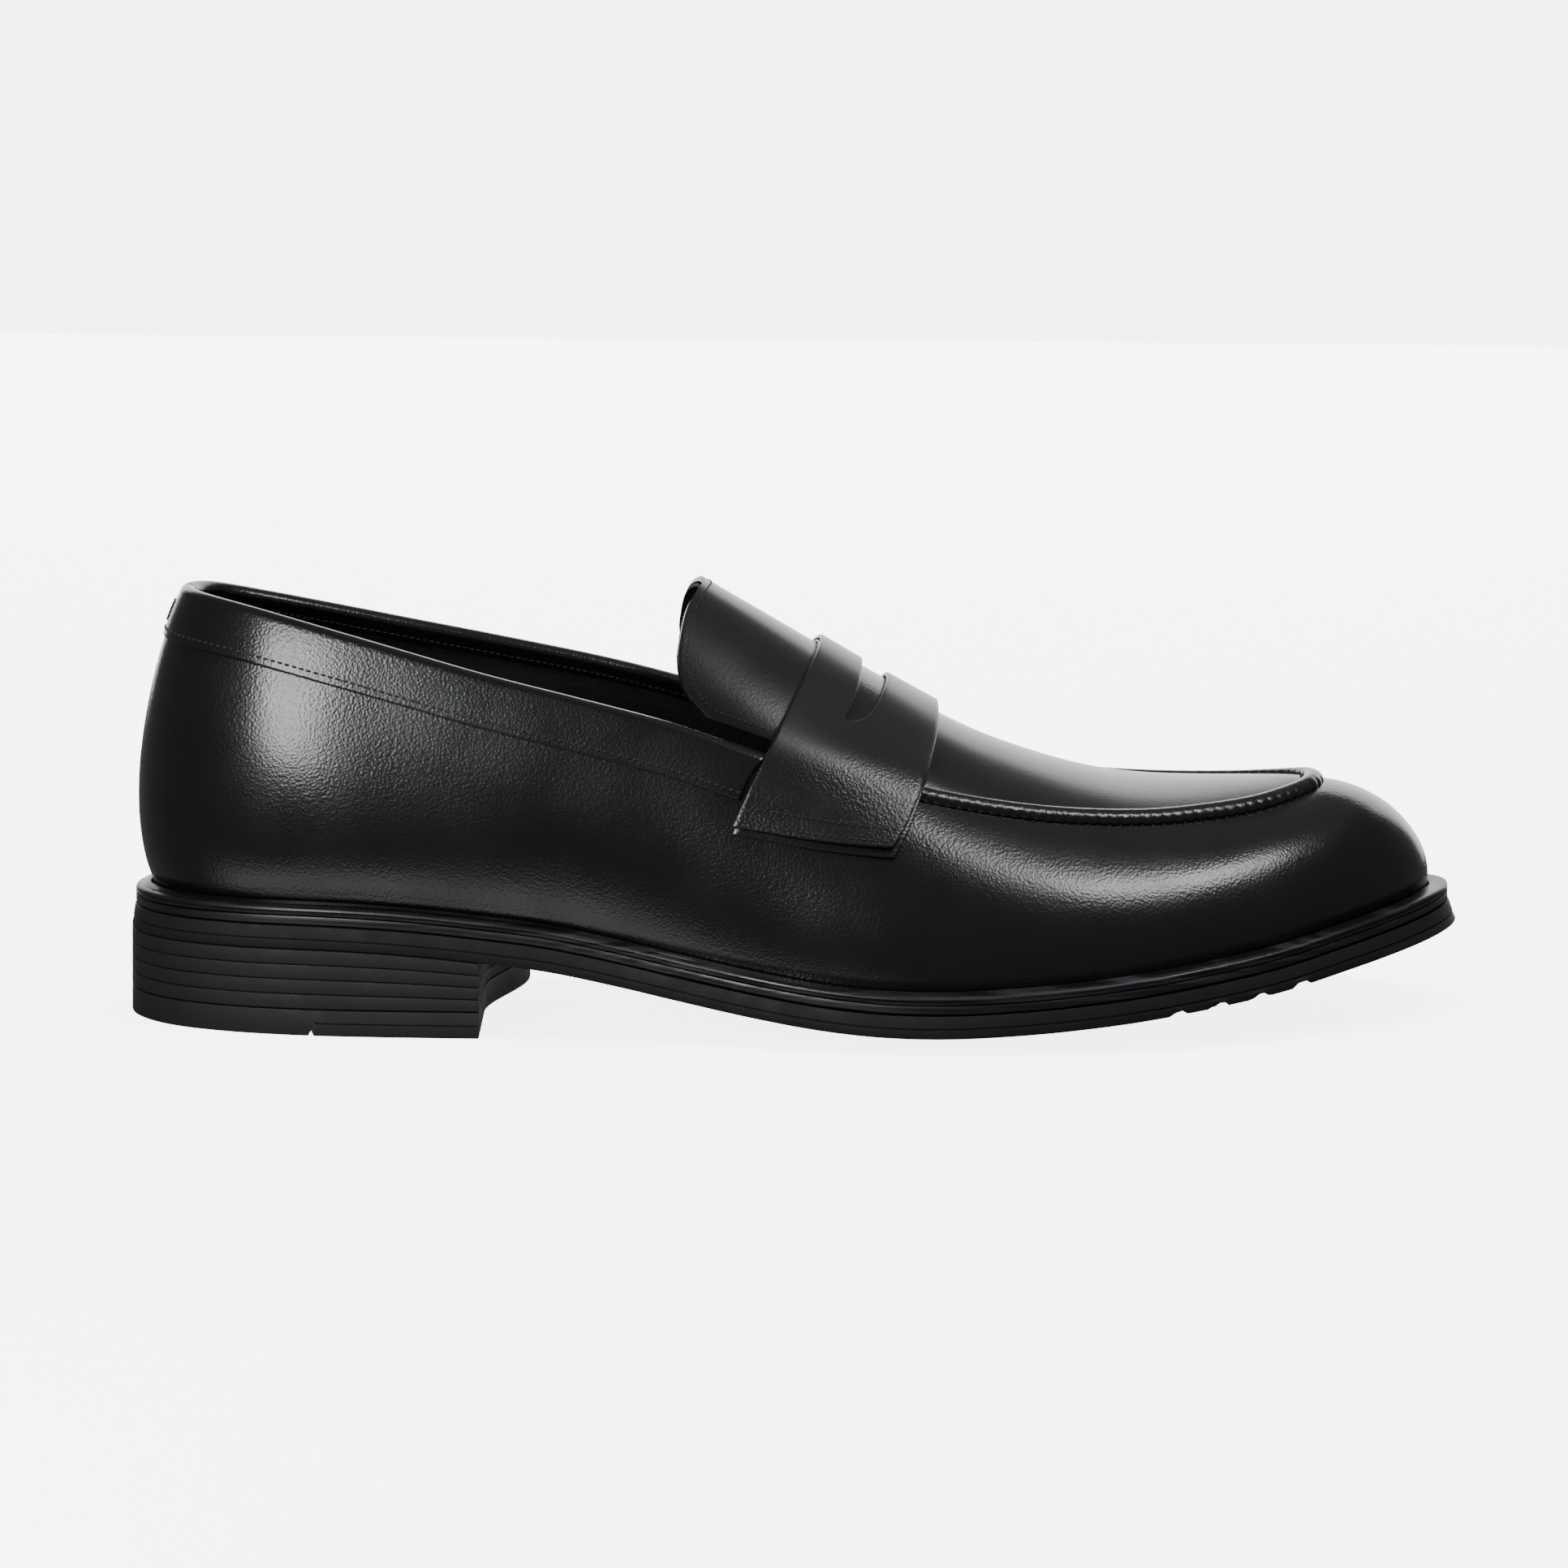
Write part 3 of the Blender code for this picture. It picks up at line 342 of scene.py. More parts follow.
def bottom_z(s, y, level):
    """Height of a level of the bottom stack: it follows the sole's spring and bellies in the middle."""
    lateral = np.interp(s, SIDES[0][:, 0], SIDES[0][:, 1])
    medial = np.interp(s, SIDES[1][:, 0], SIDES[1][:, 1])
    width = medial - lateral
    across = (2 * y - lateral - medial) / np.maximum(width, 1.0)
    inside = (1 - np.clip(across**2, 0, 1)) * smooth_step(0.0, 40.0, width)
    return spline(EDGE, s) - spline(BELLY, s) * inside + level


def lifted(plan, level):
    return np.concatenate([plan, bottom_z(plan[..., 0], plan[..., 1], level)[..., None]], axis=-1)


def wander(points, wavelength):
    """Slow unevenness of hand-lasted leather, between about -1 and 1."""
    directions = np.array([[0.9, 0.2, 0.4], [-0.3, 0.5, 0.9], [0.5, -0.7, 0.6]])
    waves = points @ (directions.T * (2 * math.pi / wavelength))
    return np.sin(waves + np.array([0.4, 2.1, 4.0])).sum(axis=-1) / 3


def wall(u, t):
    """Outer face of the side wall: t is 0 at the feather line and 1 at the top edge."""
    u, t = np.broadcast_arrays(np.asarray(u, float), np.asarray(t, float))
    loop = spline(LOOP, np.mod(u, 1.0))
    foot = lifted(loop[..., :2], FEATHER_LEVEL)
    head = loop[..., 2:]
    low_out, low_up, high_out, high_down = np.moveaxis(spline(WALL_HANDLES, np.mod(u, 1.0)), -1, 0)
    outward = np.concatenate([plan_normal(u, 0), np.zeros(u.shape + (1,))], axis=-1)
    up = np.array([0.0, 0.0, 1.0])
    first = foot + outward * low_out[..., None] + up * low_up[..., None]
    second = head + outward * high_out[..., None] - up * high_down[..., None]
    t = t[..., None]
    point = (1 - t) ** 3 * foot + 3 * t * (1 - t) ** 2 * first + 3 * t**2 * (1 - t) * second + t**3 * head
    return point + outward * 0.16 * wander(point, 46.0)[..., None] * (4 * t * (1 - t))


def t_at_drop(u, drop):
    """t of the point of the wall that lies drop below its top edge."""
    samples = np.linspace(0.0, 1.0, 61)
    flat_u = np.ravel(u)
    heights = wall(flat_u[:, None], samples[None, :])[..., 2]
    wanted = heights[:, -1] - np.broadcast_to(drop, np.shape(u)).ravel()
    t = [np.interp(height, line, samples) for height, line in zip(wanted, heights)]
    return np.array(t).reshape(np.shape(u))


def wall_below_top(u, drop):
    return wall(u, t_at_drop(u, drop))


def seam_rise(u):
    """How far the apron's edge stands above the wall's, as an upward vector."""
    return spline(WALL_RISE, np.mod(u, 1.0))[..., None] * np.array([0.0, 0.0, 1.0])


def crown_edge(u):
    """Edge of the apron and tongue, just inside the top of the wall."""
    head = spline(LOOP, np.mod(u, 1.0))[..., 2:]
    inward = np.concatenate([-plan_normal(u, 2), np.zeros(np.shape(u) + (1,))], axis=-1)
    return head + inward * APRON_IN + seam_rise(u)


def crown(u, w):
    """Arched face of apron and tongue between the two sides: w is 0 lateral and 1 medial."""
    u, w = np.broadcast_arrays(np.asarray(u, float), np.asarray(w, float))
    left, right = crown_edge(u), crown_edge(1.0 - u)
    point = left + (right - left) * w[..., None]
    middle = 0.5 * (left + right)
    rise = np.maximum(spline(CREST, middle[..., 0]) - middle[..., 2], 0.0)
    bulge = (4 * w * (1 - w)) ** spline(ARCH, middle[..., 0])
    point[..., 2] += rise * bulge
    return point


def u_at_s(line, s):
    """u at which a line over the crown or wall passes s."""
    samples = np.linspace(0.12, 0.5, 115)
    return np.interp(s, line(samples)[:, 0], samples)


def crown_u_at(s, w):
    return u_at_s(lambda us: crown(us, np.full(us.shape, w)), s)


def on_side(u, side):
    return u if side < 0 else 1.0 - u


def grid_normals(grid, closed=False):
    if closed:
        along = np.roll(grid, -1, axis=1) - np.roll(grid, 1, axis=1)
    else:
        along = np.gradient(grid, axis=1)
    return unit(np.cross(along, np.gradient(grid, axis=0)))


def offset(grid, distance, closed=False):
    return grid + grid_normals(grid, closed) * np.broadcast_to(distance, grid.shape[:2])[..., None]


def eased(count, start=0.0, stop=1.0):
    """Positions from 0 to 1, closer together at the ends that are round in plan."""
    return (1 - np.cos(math.pi * np.linspace(start, stop, count))) / 2


def arc_length(line):
    return np.concatenate([[0.0], np.cumsum(np.linalg.norm(np.diff(line, axis=0), axis=1))])


def resampled(line, at):
    run = arc_length(line)
    return np.column_stack([np.interp(at, run, line[:, axis]) for axis in range(line.shape[1])])


# ---------------------------------------------------------------- meshes


def place(points):
    moved = np.asarray(points, float).reshape(-1, 3) - np.array([LENGTH / 2, CENTRE_Y, 0.0])
    return moved * MM


def add_piece(name, points, faces, look, body="shoe", sharp=40.0):
    mesh = bpy.data.meshes.new(name)
    mesh.from_pydata(place(points).tolist(), [], faces)
    work = bmesh.new()
    work.from_mesh(mesh)
    bmesh.ops.remove_doubles(work, verts=work.verts, dist=2e-6)
    bmesh.ops.dissolve_degenerate(work, edges=work.edges, dist=1e-6)
    bmesh.ops.recalc_face_normals(work, faces=work.faces)
    if not any(edge.is_boundary for edge in work.edges) and work.calc_volume(signed=True) < 0:
        bmesh.ops.reverse_faces(work, faces=work.faces)
    work.to_mesh(mesh)
    work.free()
    mesh.shade_smooth()
    mesh.set_sharp_from_angle(angle=math.radians(sharp))
    mesh.materials.append(look)
    piece = bpy.data.objects.new(name, mesh)
    bpy.context.scene.collection.objects.link(piece)
    if body:
        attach(piece, body)
    return piece


def grid_faces(rows, columns, closed=False, start=0):
    faces = []
    for row in range(rows - 1):
        for column in range(columns if closed else columns - 1):
            beside = (column + 1) % columns
            low, high = start + row * columns, start + (row + 1) * columns
            faces.append((low + column, low + beside, high + beside, high + column))
    return faces


def shell_faces(rows, columns, closed):
    """Faces of a solid between an outer grid and an inner grid that follows it in the point list."""
    count = rows * columns
    outer = grid_faces(rows, columns, closed)
    faces = outer + [tuple(count + i for i in reversed(face)) for face in outer]
    for row in (0, (rows - 1) * columns):
        for column in range(columns if closed else columns - 1):
            a, b = row + column, row + (column + 1) % columns
            faces.append((a, b, count + b, count + a) if row else (b, a, count + a, count + b))
    if not closed:
        for row in range(rows - 1):
            for column in (0, columns - 1):
                a, b = row * columns + column, (row + 1) * columns + column
                faces.append((a, b, count + b, count + a))
    return faces


def shell(name, outer, inner, look, closed=False, body="shoe"):
    points = np.concatenate([outer.reshape(-1, 3), inner.reshape(-1, 3)])
    return add_piece(name, points, shell_faces(*outer.shape[:2], closed), look, body)


def apply_modifiers(piece):
    bpy.context.view_layer.update()
    graph = bpy.context.evaluated_depsgraph_get()
    old = piece.data
    piece.data = bpy.data.meshes.new_from_object(piece.evaluated_get(graph))
    piece.modifiers.clear()
    bpy.data.meshes.remove(old)
    return piece


def soften(piece, width, segments=2, angle=50.0):
    """Rounds the cut edges of a piece, in millimetres."""
    step = piece.modifiers.new("edge", "BEVEL")
    step.width = width * MM
    step.segments = segments
    step.limit_method = "ANGLE"
    step.angle_limit = math.radians(angle)
    apply_modifiers(piece)
    piece.data.shade_smooth()
    piece.data.set_sharp_from_angle(angle=math.radians(60))
    return piece


def cut(piece, cutter):
    """Takes a solid out of a piece and removes the solid."""
    step = piece.modifiers.new("cut", "BOOLEAN")
    step.operation = "DIFFERENCE"
    step.solver = "EXACT"
    step.object = cutter
    apply_modifiers(piece)
    bpy.data.objects.remove(cutter, do_unlink=True)
    piece.data.shade_smooth()
    piece.data.set_sharp_from_angle(angle=math.radians(40))


def ladder(lateral, medial, across, lean=None):
    """Plan grid whose rungs join two sides. lean shapes each rung's s between its ends."""
    w = np.linspace(0.0, 1.0, across)
    share = w if lean is None else lean(w)
    s = lateral[:, None, 0] + (medial - lateral)[:, None, 0] * share[None, :]
    y = lateral[:, None, 1] + (medial - lateral)[:, None, 1] * w[None, :]
    return np.stack([s, y], axis=-1)


def plate_with_sides(name, profile, look, stations, across, underside=None):
    """Full-length plate whose side is a profile of (lip, inset, level) from the bottom edge to the top edge.

    underside, if given, reshapes the bottom face and the corner that it makes with the side.
    """
    u = 0.5 * eased(stations)
    around = np.concatenate([u, 1 - u[-2:0:-1]])
    rings = [lifted(bottom_outline(around, lip, inset), level) for lip, inset, level in profile]
    if underside:
        rings[:CORNER_ROWS] = [underside(ring) for ring in rings[:CORNER_ROWS]]
    points = [np.array(rings).reshape(-1, 3)]
    faces = grid_faces(len(profile), len(around), True)
    for lip, inset, level in (profile[0], profile[-1]):
        start = sum(map(len, points))
        plan = ladder(bottom_outline(u, lip, inset), bottom_outline(1 - u, lip, inset), across)
        cap = lifted(plan, level)
        if underside and level == profile[0][2]:
            cap = underside(cap)
        points.append(cap.reshape(-1, 3))
        faces += grid_faces(stations, across, False, start)
    return add_piece(name, np.concatenate(points), faces, look)


def capsule(centre, along, normal, length, radius, sag=0.35):
    """Points and faces of one stitch: a short thread arched out of the surface."""
    side = np.cross(normal, along)
    rings = ((-0.5, 0.35), (-0.42, 0.8), (-0.2, 1.0), (0.2, 1.0), (0.42, 0.8), (0.5, 0.35))
    points = []
    for share, width in rings:
        lift = radius * (0.35 - sag * 6 * share**2)
        for k in range(6):
            angle = math.pi * k / 3
            across = side * (math.cos(angle) * radius * width)
            height = normal * (math.sin(angle) * radius * width + lift)
            points.append(centre + along * (share * length) + across + height)
    faces = grid_faces(len(rings), 6, True)
    faces += [tuple(reversed(range(6))), tuple(range(6 * (len(rings) - 1), 6 * len(rings)))]
    return points, faces


def stitch_row(name, rows, look, pitch, length, radius, body="shoe", slant=0.0):
    """Stitches along lines of (points, normals), as one piece of thread work."""
    points, faces = [], []
    for line, normals in rows:
        run = arc_length(line)
        count = max(int(run[-1] / pitch), 1)
        at = (np.arange(count) + 0.5) * run[-1] / count
        here = resampled(line, at)
        ahead = resampled(line, np.minimum(at + 0.3, run[-1]))
        behind = resampled(line, np.maximum(at - 0.3, 0.0))
        up = unit(np.column_stack([np.interp(at, run, normals[:, axis]) for axis in range(3)]))
        along = unit(ahead - behind)
        along = unit(along - up * (along * up).sum(axis=1, keepdims=True))
        across = np.cross(up, along)
        along = along * math.cos(slant) + across * math.sin(slant)
        for centre, direction, normal in zip(here, along, up):
            found, made = capsule(centre, direction, normal, length, radius)
            faces += [tuple(len(points) + i for i in face) for face in made]
            points += found
    return add_piece(name, np.array(points), faces, look, body)


# ---------------------------------------------------------------- materials


class Nodes:
    """A material's node tree, with the few steps that the looks here share."""

    def __init__(self, name):
        self.material = bpy.data.materials.new(name)
        self.material.use_nodes = True
        self.tree = self.material.node_tree
        self.shader = self.tree.nodes["Principled BSDF"]
        self.position = self.add("ShaderNodeTexCoord").outputs["Object"]

    def add(self, kind, **settings):
        node = self.tree.nodes.new(kind)
        for key, value in settings.items():
            setattr(node, key, value)
        return node

    def link(self, source, target):
        if isinstance(source, (int, float)):
            target.default_value = source
        else:
            self.tree.links.new(source, target)

    def stretched(self, scale):
        mapping = self.add("ShaderNodeMapping")
        mapping.inputs["Scale"].default_value = scale
        self.link(self.position, mapping.inputs["Vector"])
        return mapping.outputs["Vector"]

    def noise(self, scale, detail=2.0, stretch=None):
        node = self.add("ShaderNodeTexNoise")
        node.inputs["Scale"].default_value = scale
        node.inputs["Detail"].default_value = detail
        self.link(self.stretched(stretch) if stretch else self.position, node.inputs["Vector"])
        return node.outputs["Fac"]

    def cells(self, scale):
        node = self.add("ShaderNodeTexVoronoi", feature="SMOOTH_F1")
        node.inputs["Scale"].default_value = scale
        node.inputs["Smoothness"].default_value = 0.6
        self.link(self.position, node.inputs["Vector"])
        return node.outputs["Distance"]

    def maths(self, operation, first, second):
        node = self.add("ShaderNodeMath", operation=operation)
        self.link(first, node.inputs[0])
        self.link(second, node.inputs[1])
        return node.outputs[0]

    def ranged(self, value, low, high, to_low, to_high):
        node = self.add("ShaderNodeMapRange", interpolation_type="SMOOTHSTEP")
        for key, number in (("From Min", low), ("From Max", high), ("To Min", to_low), ("To Max", to_high)):
            node.inputs[key].default_value = number
        self.link(value, node.inputs["Value"])
        return node.outputs["Result"]

    def height(self):
        """Height above the ground, in metres, of a point of the shoe at rest."""
        node = self.add("ShaderNodeSeparateXYZ")
        self.link(self.position, node.inputs["Vector"])
        return node.outputs["Z"]

    def colour(self, factor, dark, light):
        node = self.add("ShaderNodeMix", data_type="RGBA")
        node.inputs["A"].default_value = (*dark, 1.0)
        node.inputs["B"].default_value = (*light, 1.0)
        self.link(factor, node.inputs["Factor"])
        self.link(node.outputs["Result"], self.shader.inputs["Base Color"])

    def bump(self, height, distance, strength=1.0):
        node = self.add("ShaderNodeBump")
        node.inputs["Distance"].default_value = distance
        self.link(strength, node.inputs["Strength"])
        self.link(height, node.inputs["Height"])
        self.link(node.outputs["Normal"], self.shader.inputs["Normal"])

    def rough(self, value, low, high):
        self.link(self.ranged(value, 0.3, 0.7, low, high), self.shader.inputs["Roughness"])

    def fixed(self, **values):
        for key, value in values.items():
            self.shader.inputs[key.replace("_", " ")].default_value = value
        return self.material


def calf(name, grain, light, smooth_above=None, finish=(0.2, 0.26)):
    """Black polished calf: fine pebble grain, slightly uneven finish. The grain fades above a height."""
    n = Nodes(name)
    n.colour(n.noise(22.0, 3.0), (0.0025, 0.0025, 0.0027), light)
    n.rough(n.noise(60.0, 3.0), *finish)
    height = n.maths("ADD", n.cells(1700.0), n.maths("MULTIPLY", n.noise(1100.0, 2.0), 0.5))
    strength = grain
    if smooth_above:
        strength = n.ranged(n.height(), smooth_above[0], smooth_above[1], grain, 0.12 * grain)
    n.bump(height, 0.0001, strength)
    return n.fixed(Specular_IOR_Level=0.5, Coat_Weight=0.12, Coat_Roughness=0.22)


def lining_leather(name):
    n = Nodes(name)
    n.colour(n.noise(40.0, 4.0), (0.004, 0.004, 0.004), (0.008, 0.008, 0.0075))
    n.rough(n.noise(90.0), 0.55, 0.68)
    n.bump(n.cells(1100.0), 0.0002, 0.35)
    return n.fixed(Specular_IOR_Level=0.25)


def lining_cloth(name):
    n = Nodes(name)
    warp = n.noise(1.0, 0.0, (2400.0, 300.0, 300.0))
    threads = n.maths("ADD", warp, n.noise(1.0, 0.0, (300.0, 2400.0, 2400.0)))
    n.colour(n.noise(60.0), (0.008, 0.008, 0.008), (0.016, 0.016, 0.016))
    n.rough(n.noise(80.0), 0.8, 0.92)
    n.bump(threads, 0.0003, 0.6)
    return n.fixed(Specular_IOR_Level=0.25)


def painted_edge(name):
    """Edge ink over fibre: glossy, with dry streaks that run along the sole."""
    n = Nodes(name)
    streaks = n.noise(1.0, 4.0, (26.0, 60.0, 900.0))
    patches = n.noise(34.0, 3.0)
    dry = n.ranged(streaks, 0.46, 0.66, 0.0, 1.0)
    mixed = n.maths("MULTIPLY", dry, n.ranged(patches, 0.35, 0.6, 0.0, 1.0))
    n.colour(mixed, (0.003, 0.003, 0.0033), (0.014, 0.015, 0.019))
    n.rough(streaks, 0.26, 0.46)
    n.bump(streaks, 0.0002, 0.35)
    return n.fixed(Specular_IOR_Level=0.5)


def rubber(name, base, shine):
    n = Nodes(name)
    n.colour(n.noise(90.0, 3.0), tuple(0.85 * part for part in base), base)
    n.rough(n.noise(140.0), 0.52, 0.64)
    n.bump(n.noise(2600.0, 3.0), 0.0001, 0.5)
    return n.fixed(Specular_IOR_Level=shine)


def thread(name):
    n = Nodes(name)
    n.colour(n.noise(300.0), (0.006, 0.006, 0.006), (0.012, 0.012, 0.012))
    n.rough(n.noise(500.0), 0.42, 0.55)
    n.bump(n.noise(6000.0, 1.0), 0.0001, 0.6)
    return n.fixed(Specular_IOR_Level=0.45)


def grainy(name, dark, light, roughness, scale, distance, metallic=0.0):
    n = Nodes(name)
    n.colour(n.noise(scale, 4.0), dark, light)
    n.rough(n.noise(scale * 0.5), roughness - 0.06, roughness + 0.06)
    n.bump(n.noise(scale * 2.0, 3.0), distance, 0.6)
    return n.fixed(Metallic=metallic)


LOOKS = {
    "side": calf("calf_side", 0.38, (0.0045, 0.0045, 0.005)),
    # The top calf has a lighter base colour than the side calf: painted sheen on the upward-facing apron and
    # tongue.
    "top": calf("calf_top_painted_sheen", 0.16, (0.006, 0.006, 0.0065), None, (0.23, 0.28)),
    # The strap calf's lighter base colour is painted sheen on its upward-facing top.
    "strap": calf("calf_strap_painted_sheen", 0.7, (0.0055, 0.0055, 0.006), (0.058, 0.066), (0.28, 0.34)),
    "collar": calf("calf_collar", 0.38, (0.0045, 0.0045, 0.005)),
    "seam": calf("calf_seam", 0.45, (0.005, 0.005, 0.0055)),
    "lining": lining_leather("lining_leather"),
    "cloth": lining_cloth("lining_cloth"),
    "edge": painted_edge("painted_edge"),
    "sole": rubber("sole_rubber", (0.0095, 0.0095, 0.0095), 0.22),
    "heel": rubber("heel_rubber", (0.011, 0.011, 0.011), 0.36),
    "thread": thread("black_thread"),
    "board": grainy("fibre_board", (0.22, 0.14, 0.08), (0.36, 0.24, 0.14), 0.85, 400.0, 0.0002),
    "cork": grainy("ground_cork", (0.14, 0.075, 0.035), (0.34, 0.21, 0.11), 0.9, 700.0, 0.0004),
    "foam": grainy("latex_foam", (0.04, 0.04, 0.042), (0.06, 0.06, 0.06), 0.9, 1500.0, 0.0003),
    "steel": grainy("spring_steel", (0.32, 0.32, 0.33), (0.42, 0.42, 0.44), 0.34, 300.0, 0.00005, 1.0),
}

# ---------------------------------------------------------------- upper


def make_side_wall():
    """One-piece side wall, its lasting allowance turned in under it."""
    u = np.arange(COLUMNS) / COLUMNS
    base, inward = outline(u), -plan_normal(u, 0)
    rows = [lifted(base + inward * width, FLANGE_BOTTOM) for width in (FLANGE_WIDTH, 5.5, 3.4)]
    for angle in np.radians((0, 18, 36, 54, 72, 90)):
        level = FLANGE_BOTTOM + TURN_RADIUS * (1 - math.cos(angle))
        rows.append(lifted(base + inward * TURN_RADIUS * (1 - math.sin(angle)), level))
    trim = COLLAR_TRIM * (1 - smooth_step(0.43, 0.47, half(u)))
    t_top = t_at_drop(u, trim)
    rows += list(wall(u[None, :], np.linspace(0.012, 1.0, 46)[:, None] * t_top[None, :]))
    outer = np.array(rows)
    piece = shell("side_wall", outer, offset(outer, -LEATHER, True), LOOKS["side"], True)
    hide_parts("vamp_quarter")


def lining_room(u, t):
    """Extra distance from the wall where a heel counter or toe puff lies behind the lining."""
    where = half(u)
    counter = (1 - smooth_step(0.28, 0.33, where)) * (1 - smooth_step(0.74, 0.88, t))
    puff = smooth_step(0.74, 0.79, where) * (1 - smooth_step(0.89, 0.99, t))
    return 1.45 * np.maximum(counter, puff)


def make_linings():
    u = np.arange(300) / 300
    t_top = t_at_drop(u, LINING_TRIM * (1 - smooth_step(0.43, 0.5, half(u))))
    t = np.linspace(0.06, 1.0, 30)[:, None] * t_top[None, :]
    face = wall(u[None, :], t)
    drop = spline(LOOP, u)[:, -1] - face[..., 2]
    away = 1.35 + 0.45 * smooth_step(3.0, 10.0, drop) + lining_room(u[None, :], t)
    normals = grid_normals(face, True)
    outer = face - normals * away[..., None]
    inner = outer - normals * (LINING - 0.2 * (1 - smooth_step(3.0, 10.0, drop)))[..., None]
    front = np.flatnonzero(half(u) > LINING_START)
    rear = np.flatnonzero(half(u) <= LINING_START)
    split = np.flatnonzero(np.diff(rear) > 1)[0] + 1
    rear = np.concatenate([rear[split:], rear[:split]])
    quarter = shell("quarter_lining_leather", outer[:, rear], inner[:, rear], LOOKS["lining"])
    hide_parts("quarter_lining")
    vamp = shell("vamp_lining_cloth", outer[:, front], inner[:, front], LOOKS["cloth"])
    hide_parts("vamp_lining")


def strap_rear_s(drop):
    return spline(STRAP_REAR, 1.0 + np.clip(drop / STRAP_DROP_REAR, 0.0, 1.0))


def collar_surface(side):
    """Outer face of one collar strip: up the outside, over the top edge and down to the facing's edge."""
    drops = np.linspace(COLLAR_DROP, COLLAR_TRIM, COLLAR_ROWS)
    ends = []
    for drop in drops:
        line = lambda us, d=drop: wall_below_top(on_side(us, side), np.full(us.shape, d))
        ends.append(u_at_s(line, strap_rear_s(drop) - 0.8))
    share = np.linspace(0.0, 1.0, 170)
    us = COLLAR_SEAM + (np.array(ends)[:, None] - COLLAR_SEAM) * share[None, :]
    if side > 0:
        us = 1.0 - us[:, ::-1]
    face = wall_below_top(us, drops[:, None])
    normals = grid_normals(face)
    up = unit(face[-1] - face[-2])
    proud = COLLAR_BACK + (COLLAR_OUT - COLLAR_BACK) * smooth_step(0.0, 0.12, half(us))[..., None]
    middle = face[-1] - normals[-1] * (COLLAR_HALF - proud[-1])
    rows = list(face + normals * proud)
    for angle in np.radians(np.linspace(16, 164, 10)):
        out, over = COLLAR_HALF * math.cos(angle), COLLAR_TRIM * math.sin(angle)
        rows.append(middle + normals[-1] * out + up * over)
    for row in range(1, FACING_ROWS + 1):
        rows.append(face[-row] - normals[-row] * (2 * COLLAR_HALF - proud[-row]))
    return np.array(rows)


def row_at(grid, position):
    """Line between two rows of a grid."""
    low = int(position)
    share = position - low
    return grid[low] * (1 - share) + grid[min(low + 1, len(grid) - 1)] * share


def make_collar(name, side, node):
    grid = collar_surface(side)
    piece = sheet(name, grid, LOOKS["collar"], COLLAR_THICK, 0.32)
    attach(piece, "shoe")
    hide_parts(node)
    normals = grid_normals(grid)
    outside = (row_at(grid, 2.2), row_at(normals, 2.2))
    inside = (row_at(grid, len(grid) - 2.6), row_at(normals, len(grid) - 2.6))
    return outside, inside


def thicken(piece, thickness):
    """Gives a sheet its thickness, in millimetres, on the side its faces turn their backs to."""
    step = piece.modifiers.new("thickness", "SOLIDIFY")
    step.thickness = thickness * MM
    step.offset = -1.0
    step.use_rim = True
    apply_modifiers(piece)


def sheet(name, grid, look, thickness, rounding):
    piece = add_piece(name, grid.reshape(-1, 3), grid_faces(*grid.shape[:2]), look, None)
    thicken(piece, thickness)
    return soften(piece, rounding)


def make_collars():
    rows = []
    for name, side, node in (
        ("collar_strip_lateral", -1, "collar_lateral"),
        ("collar_strip_medial", 1, "collar_medial"),
    ):
        rows.append(make_collar(name, side, node))
    stitch_row("collar_stitches", [row[0] for row in rows], LOOKS["thread"], 1.7, 1.15, 0.27)
    stitch_row("facing_stitches", [row[1] for row in rows], LOOKS["thread"], 1.55, 1.1, 0.2)


def make_bar_tack():
    """Dense threads laid across the seam at the back of the collar."""
    points, faces = [], []
    for number in range(TACK_THREADS):
        drop = TACK_DROP + TACK_STEP * number
        middle = wall_below_top(np.array([0.0]), np.array([drop]))[0]
        centre = middle + np.array([-COLLAR_BACK - 0.12, 0.0, 0.0])
        tilt = unit(np.array([0.0, 1.0, 0.16 * (-1) ** number]))
        found, made = capsule(centre, tilt, np.array([-1.0, 0.0, 0.0]), TACK_WIDTH, 0.3, 0.2)
        faces += [tuple(len(points) + i for i in face) for face in made]
        points += found
    add_piece("back_bar_tack", np.array(points), faces, LOOKS["thread"])


def crown_grid(rear, stations, across, front=None):
    """Grid on the crown from an edge curve that gives s for each distance from the middle."""
    w = eased(across)
    columns = []
    for one in w:
        first = crown_u_at(rear(abs(2 * one - 1)), one)
        last = APRON_END if front is None else crown_u_at(front(abs(2 * one - 1)), one)
        us = first + (last - first) * np.linspace(0, 1, stations)
        columns.append(crown(us, np.full(us.shape, one)))
    return np.stack(columns, axis=1)


def bend_with_tongue(piece):
    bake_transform(piece)


def make_crown():
    """Apron and tongue, one piece of leather that runs back under the strap, and its lining."""
    grid = crown_grid(lambda away: spline(TONGUE_FREE, away), 190, 80)[:, ::-1]
    leather = sheet("apron_and_tongue", grid, LOOKS["top"], LEATHER, 0.34)
    bend_with_tongue(leather)
    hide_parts("apron", "tongue")
    back = offset(grid[:, 1:-1], -LINING_DROP)
    front = offset(grid[:, 1:-1], -LINING_DROP - LINING)
    lining = shell("crown_lining", back, front, LOOKS["lining"], body=None)
    bend_with_tongue(lining)
    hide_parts("apron_lining", "tongue_lining")


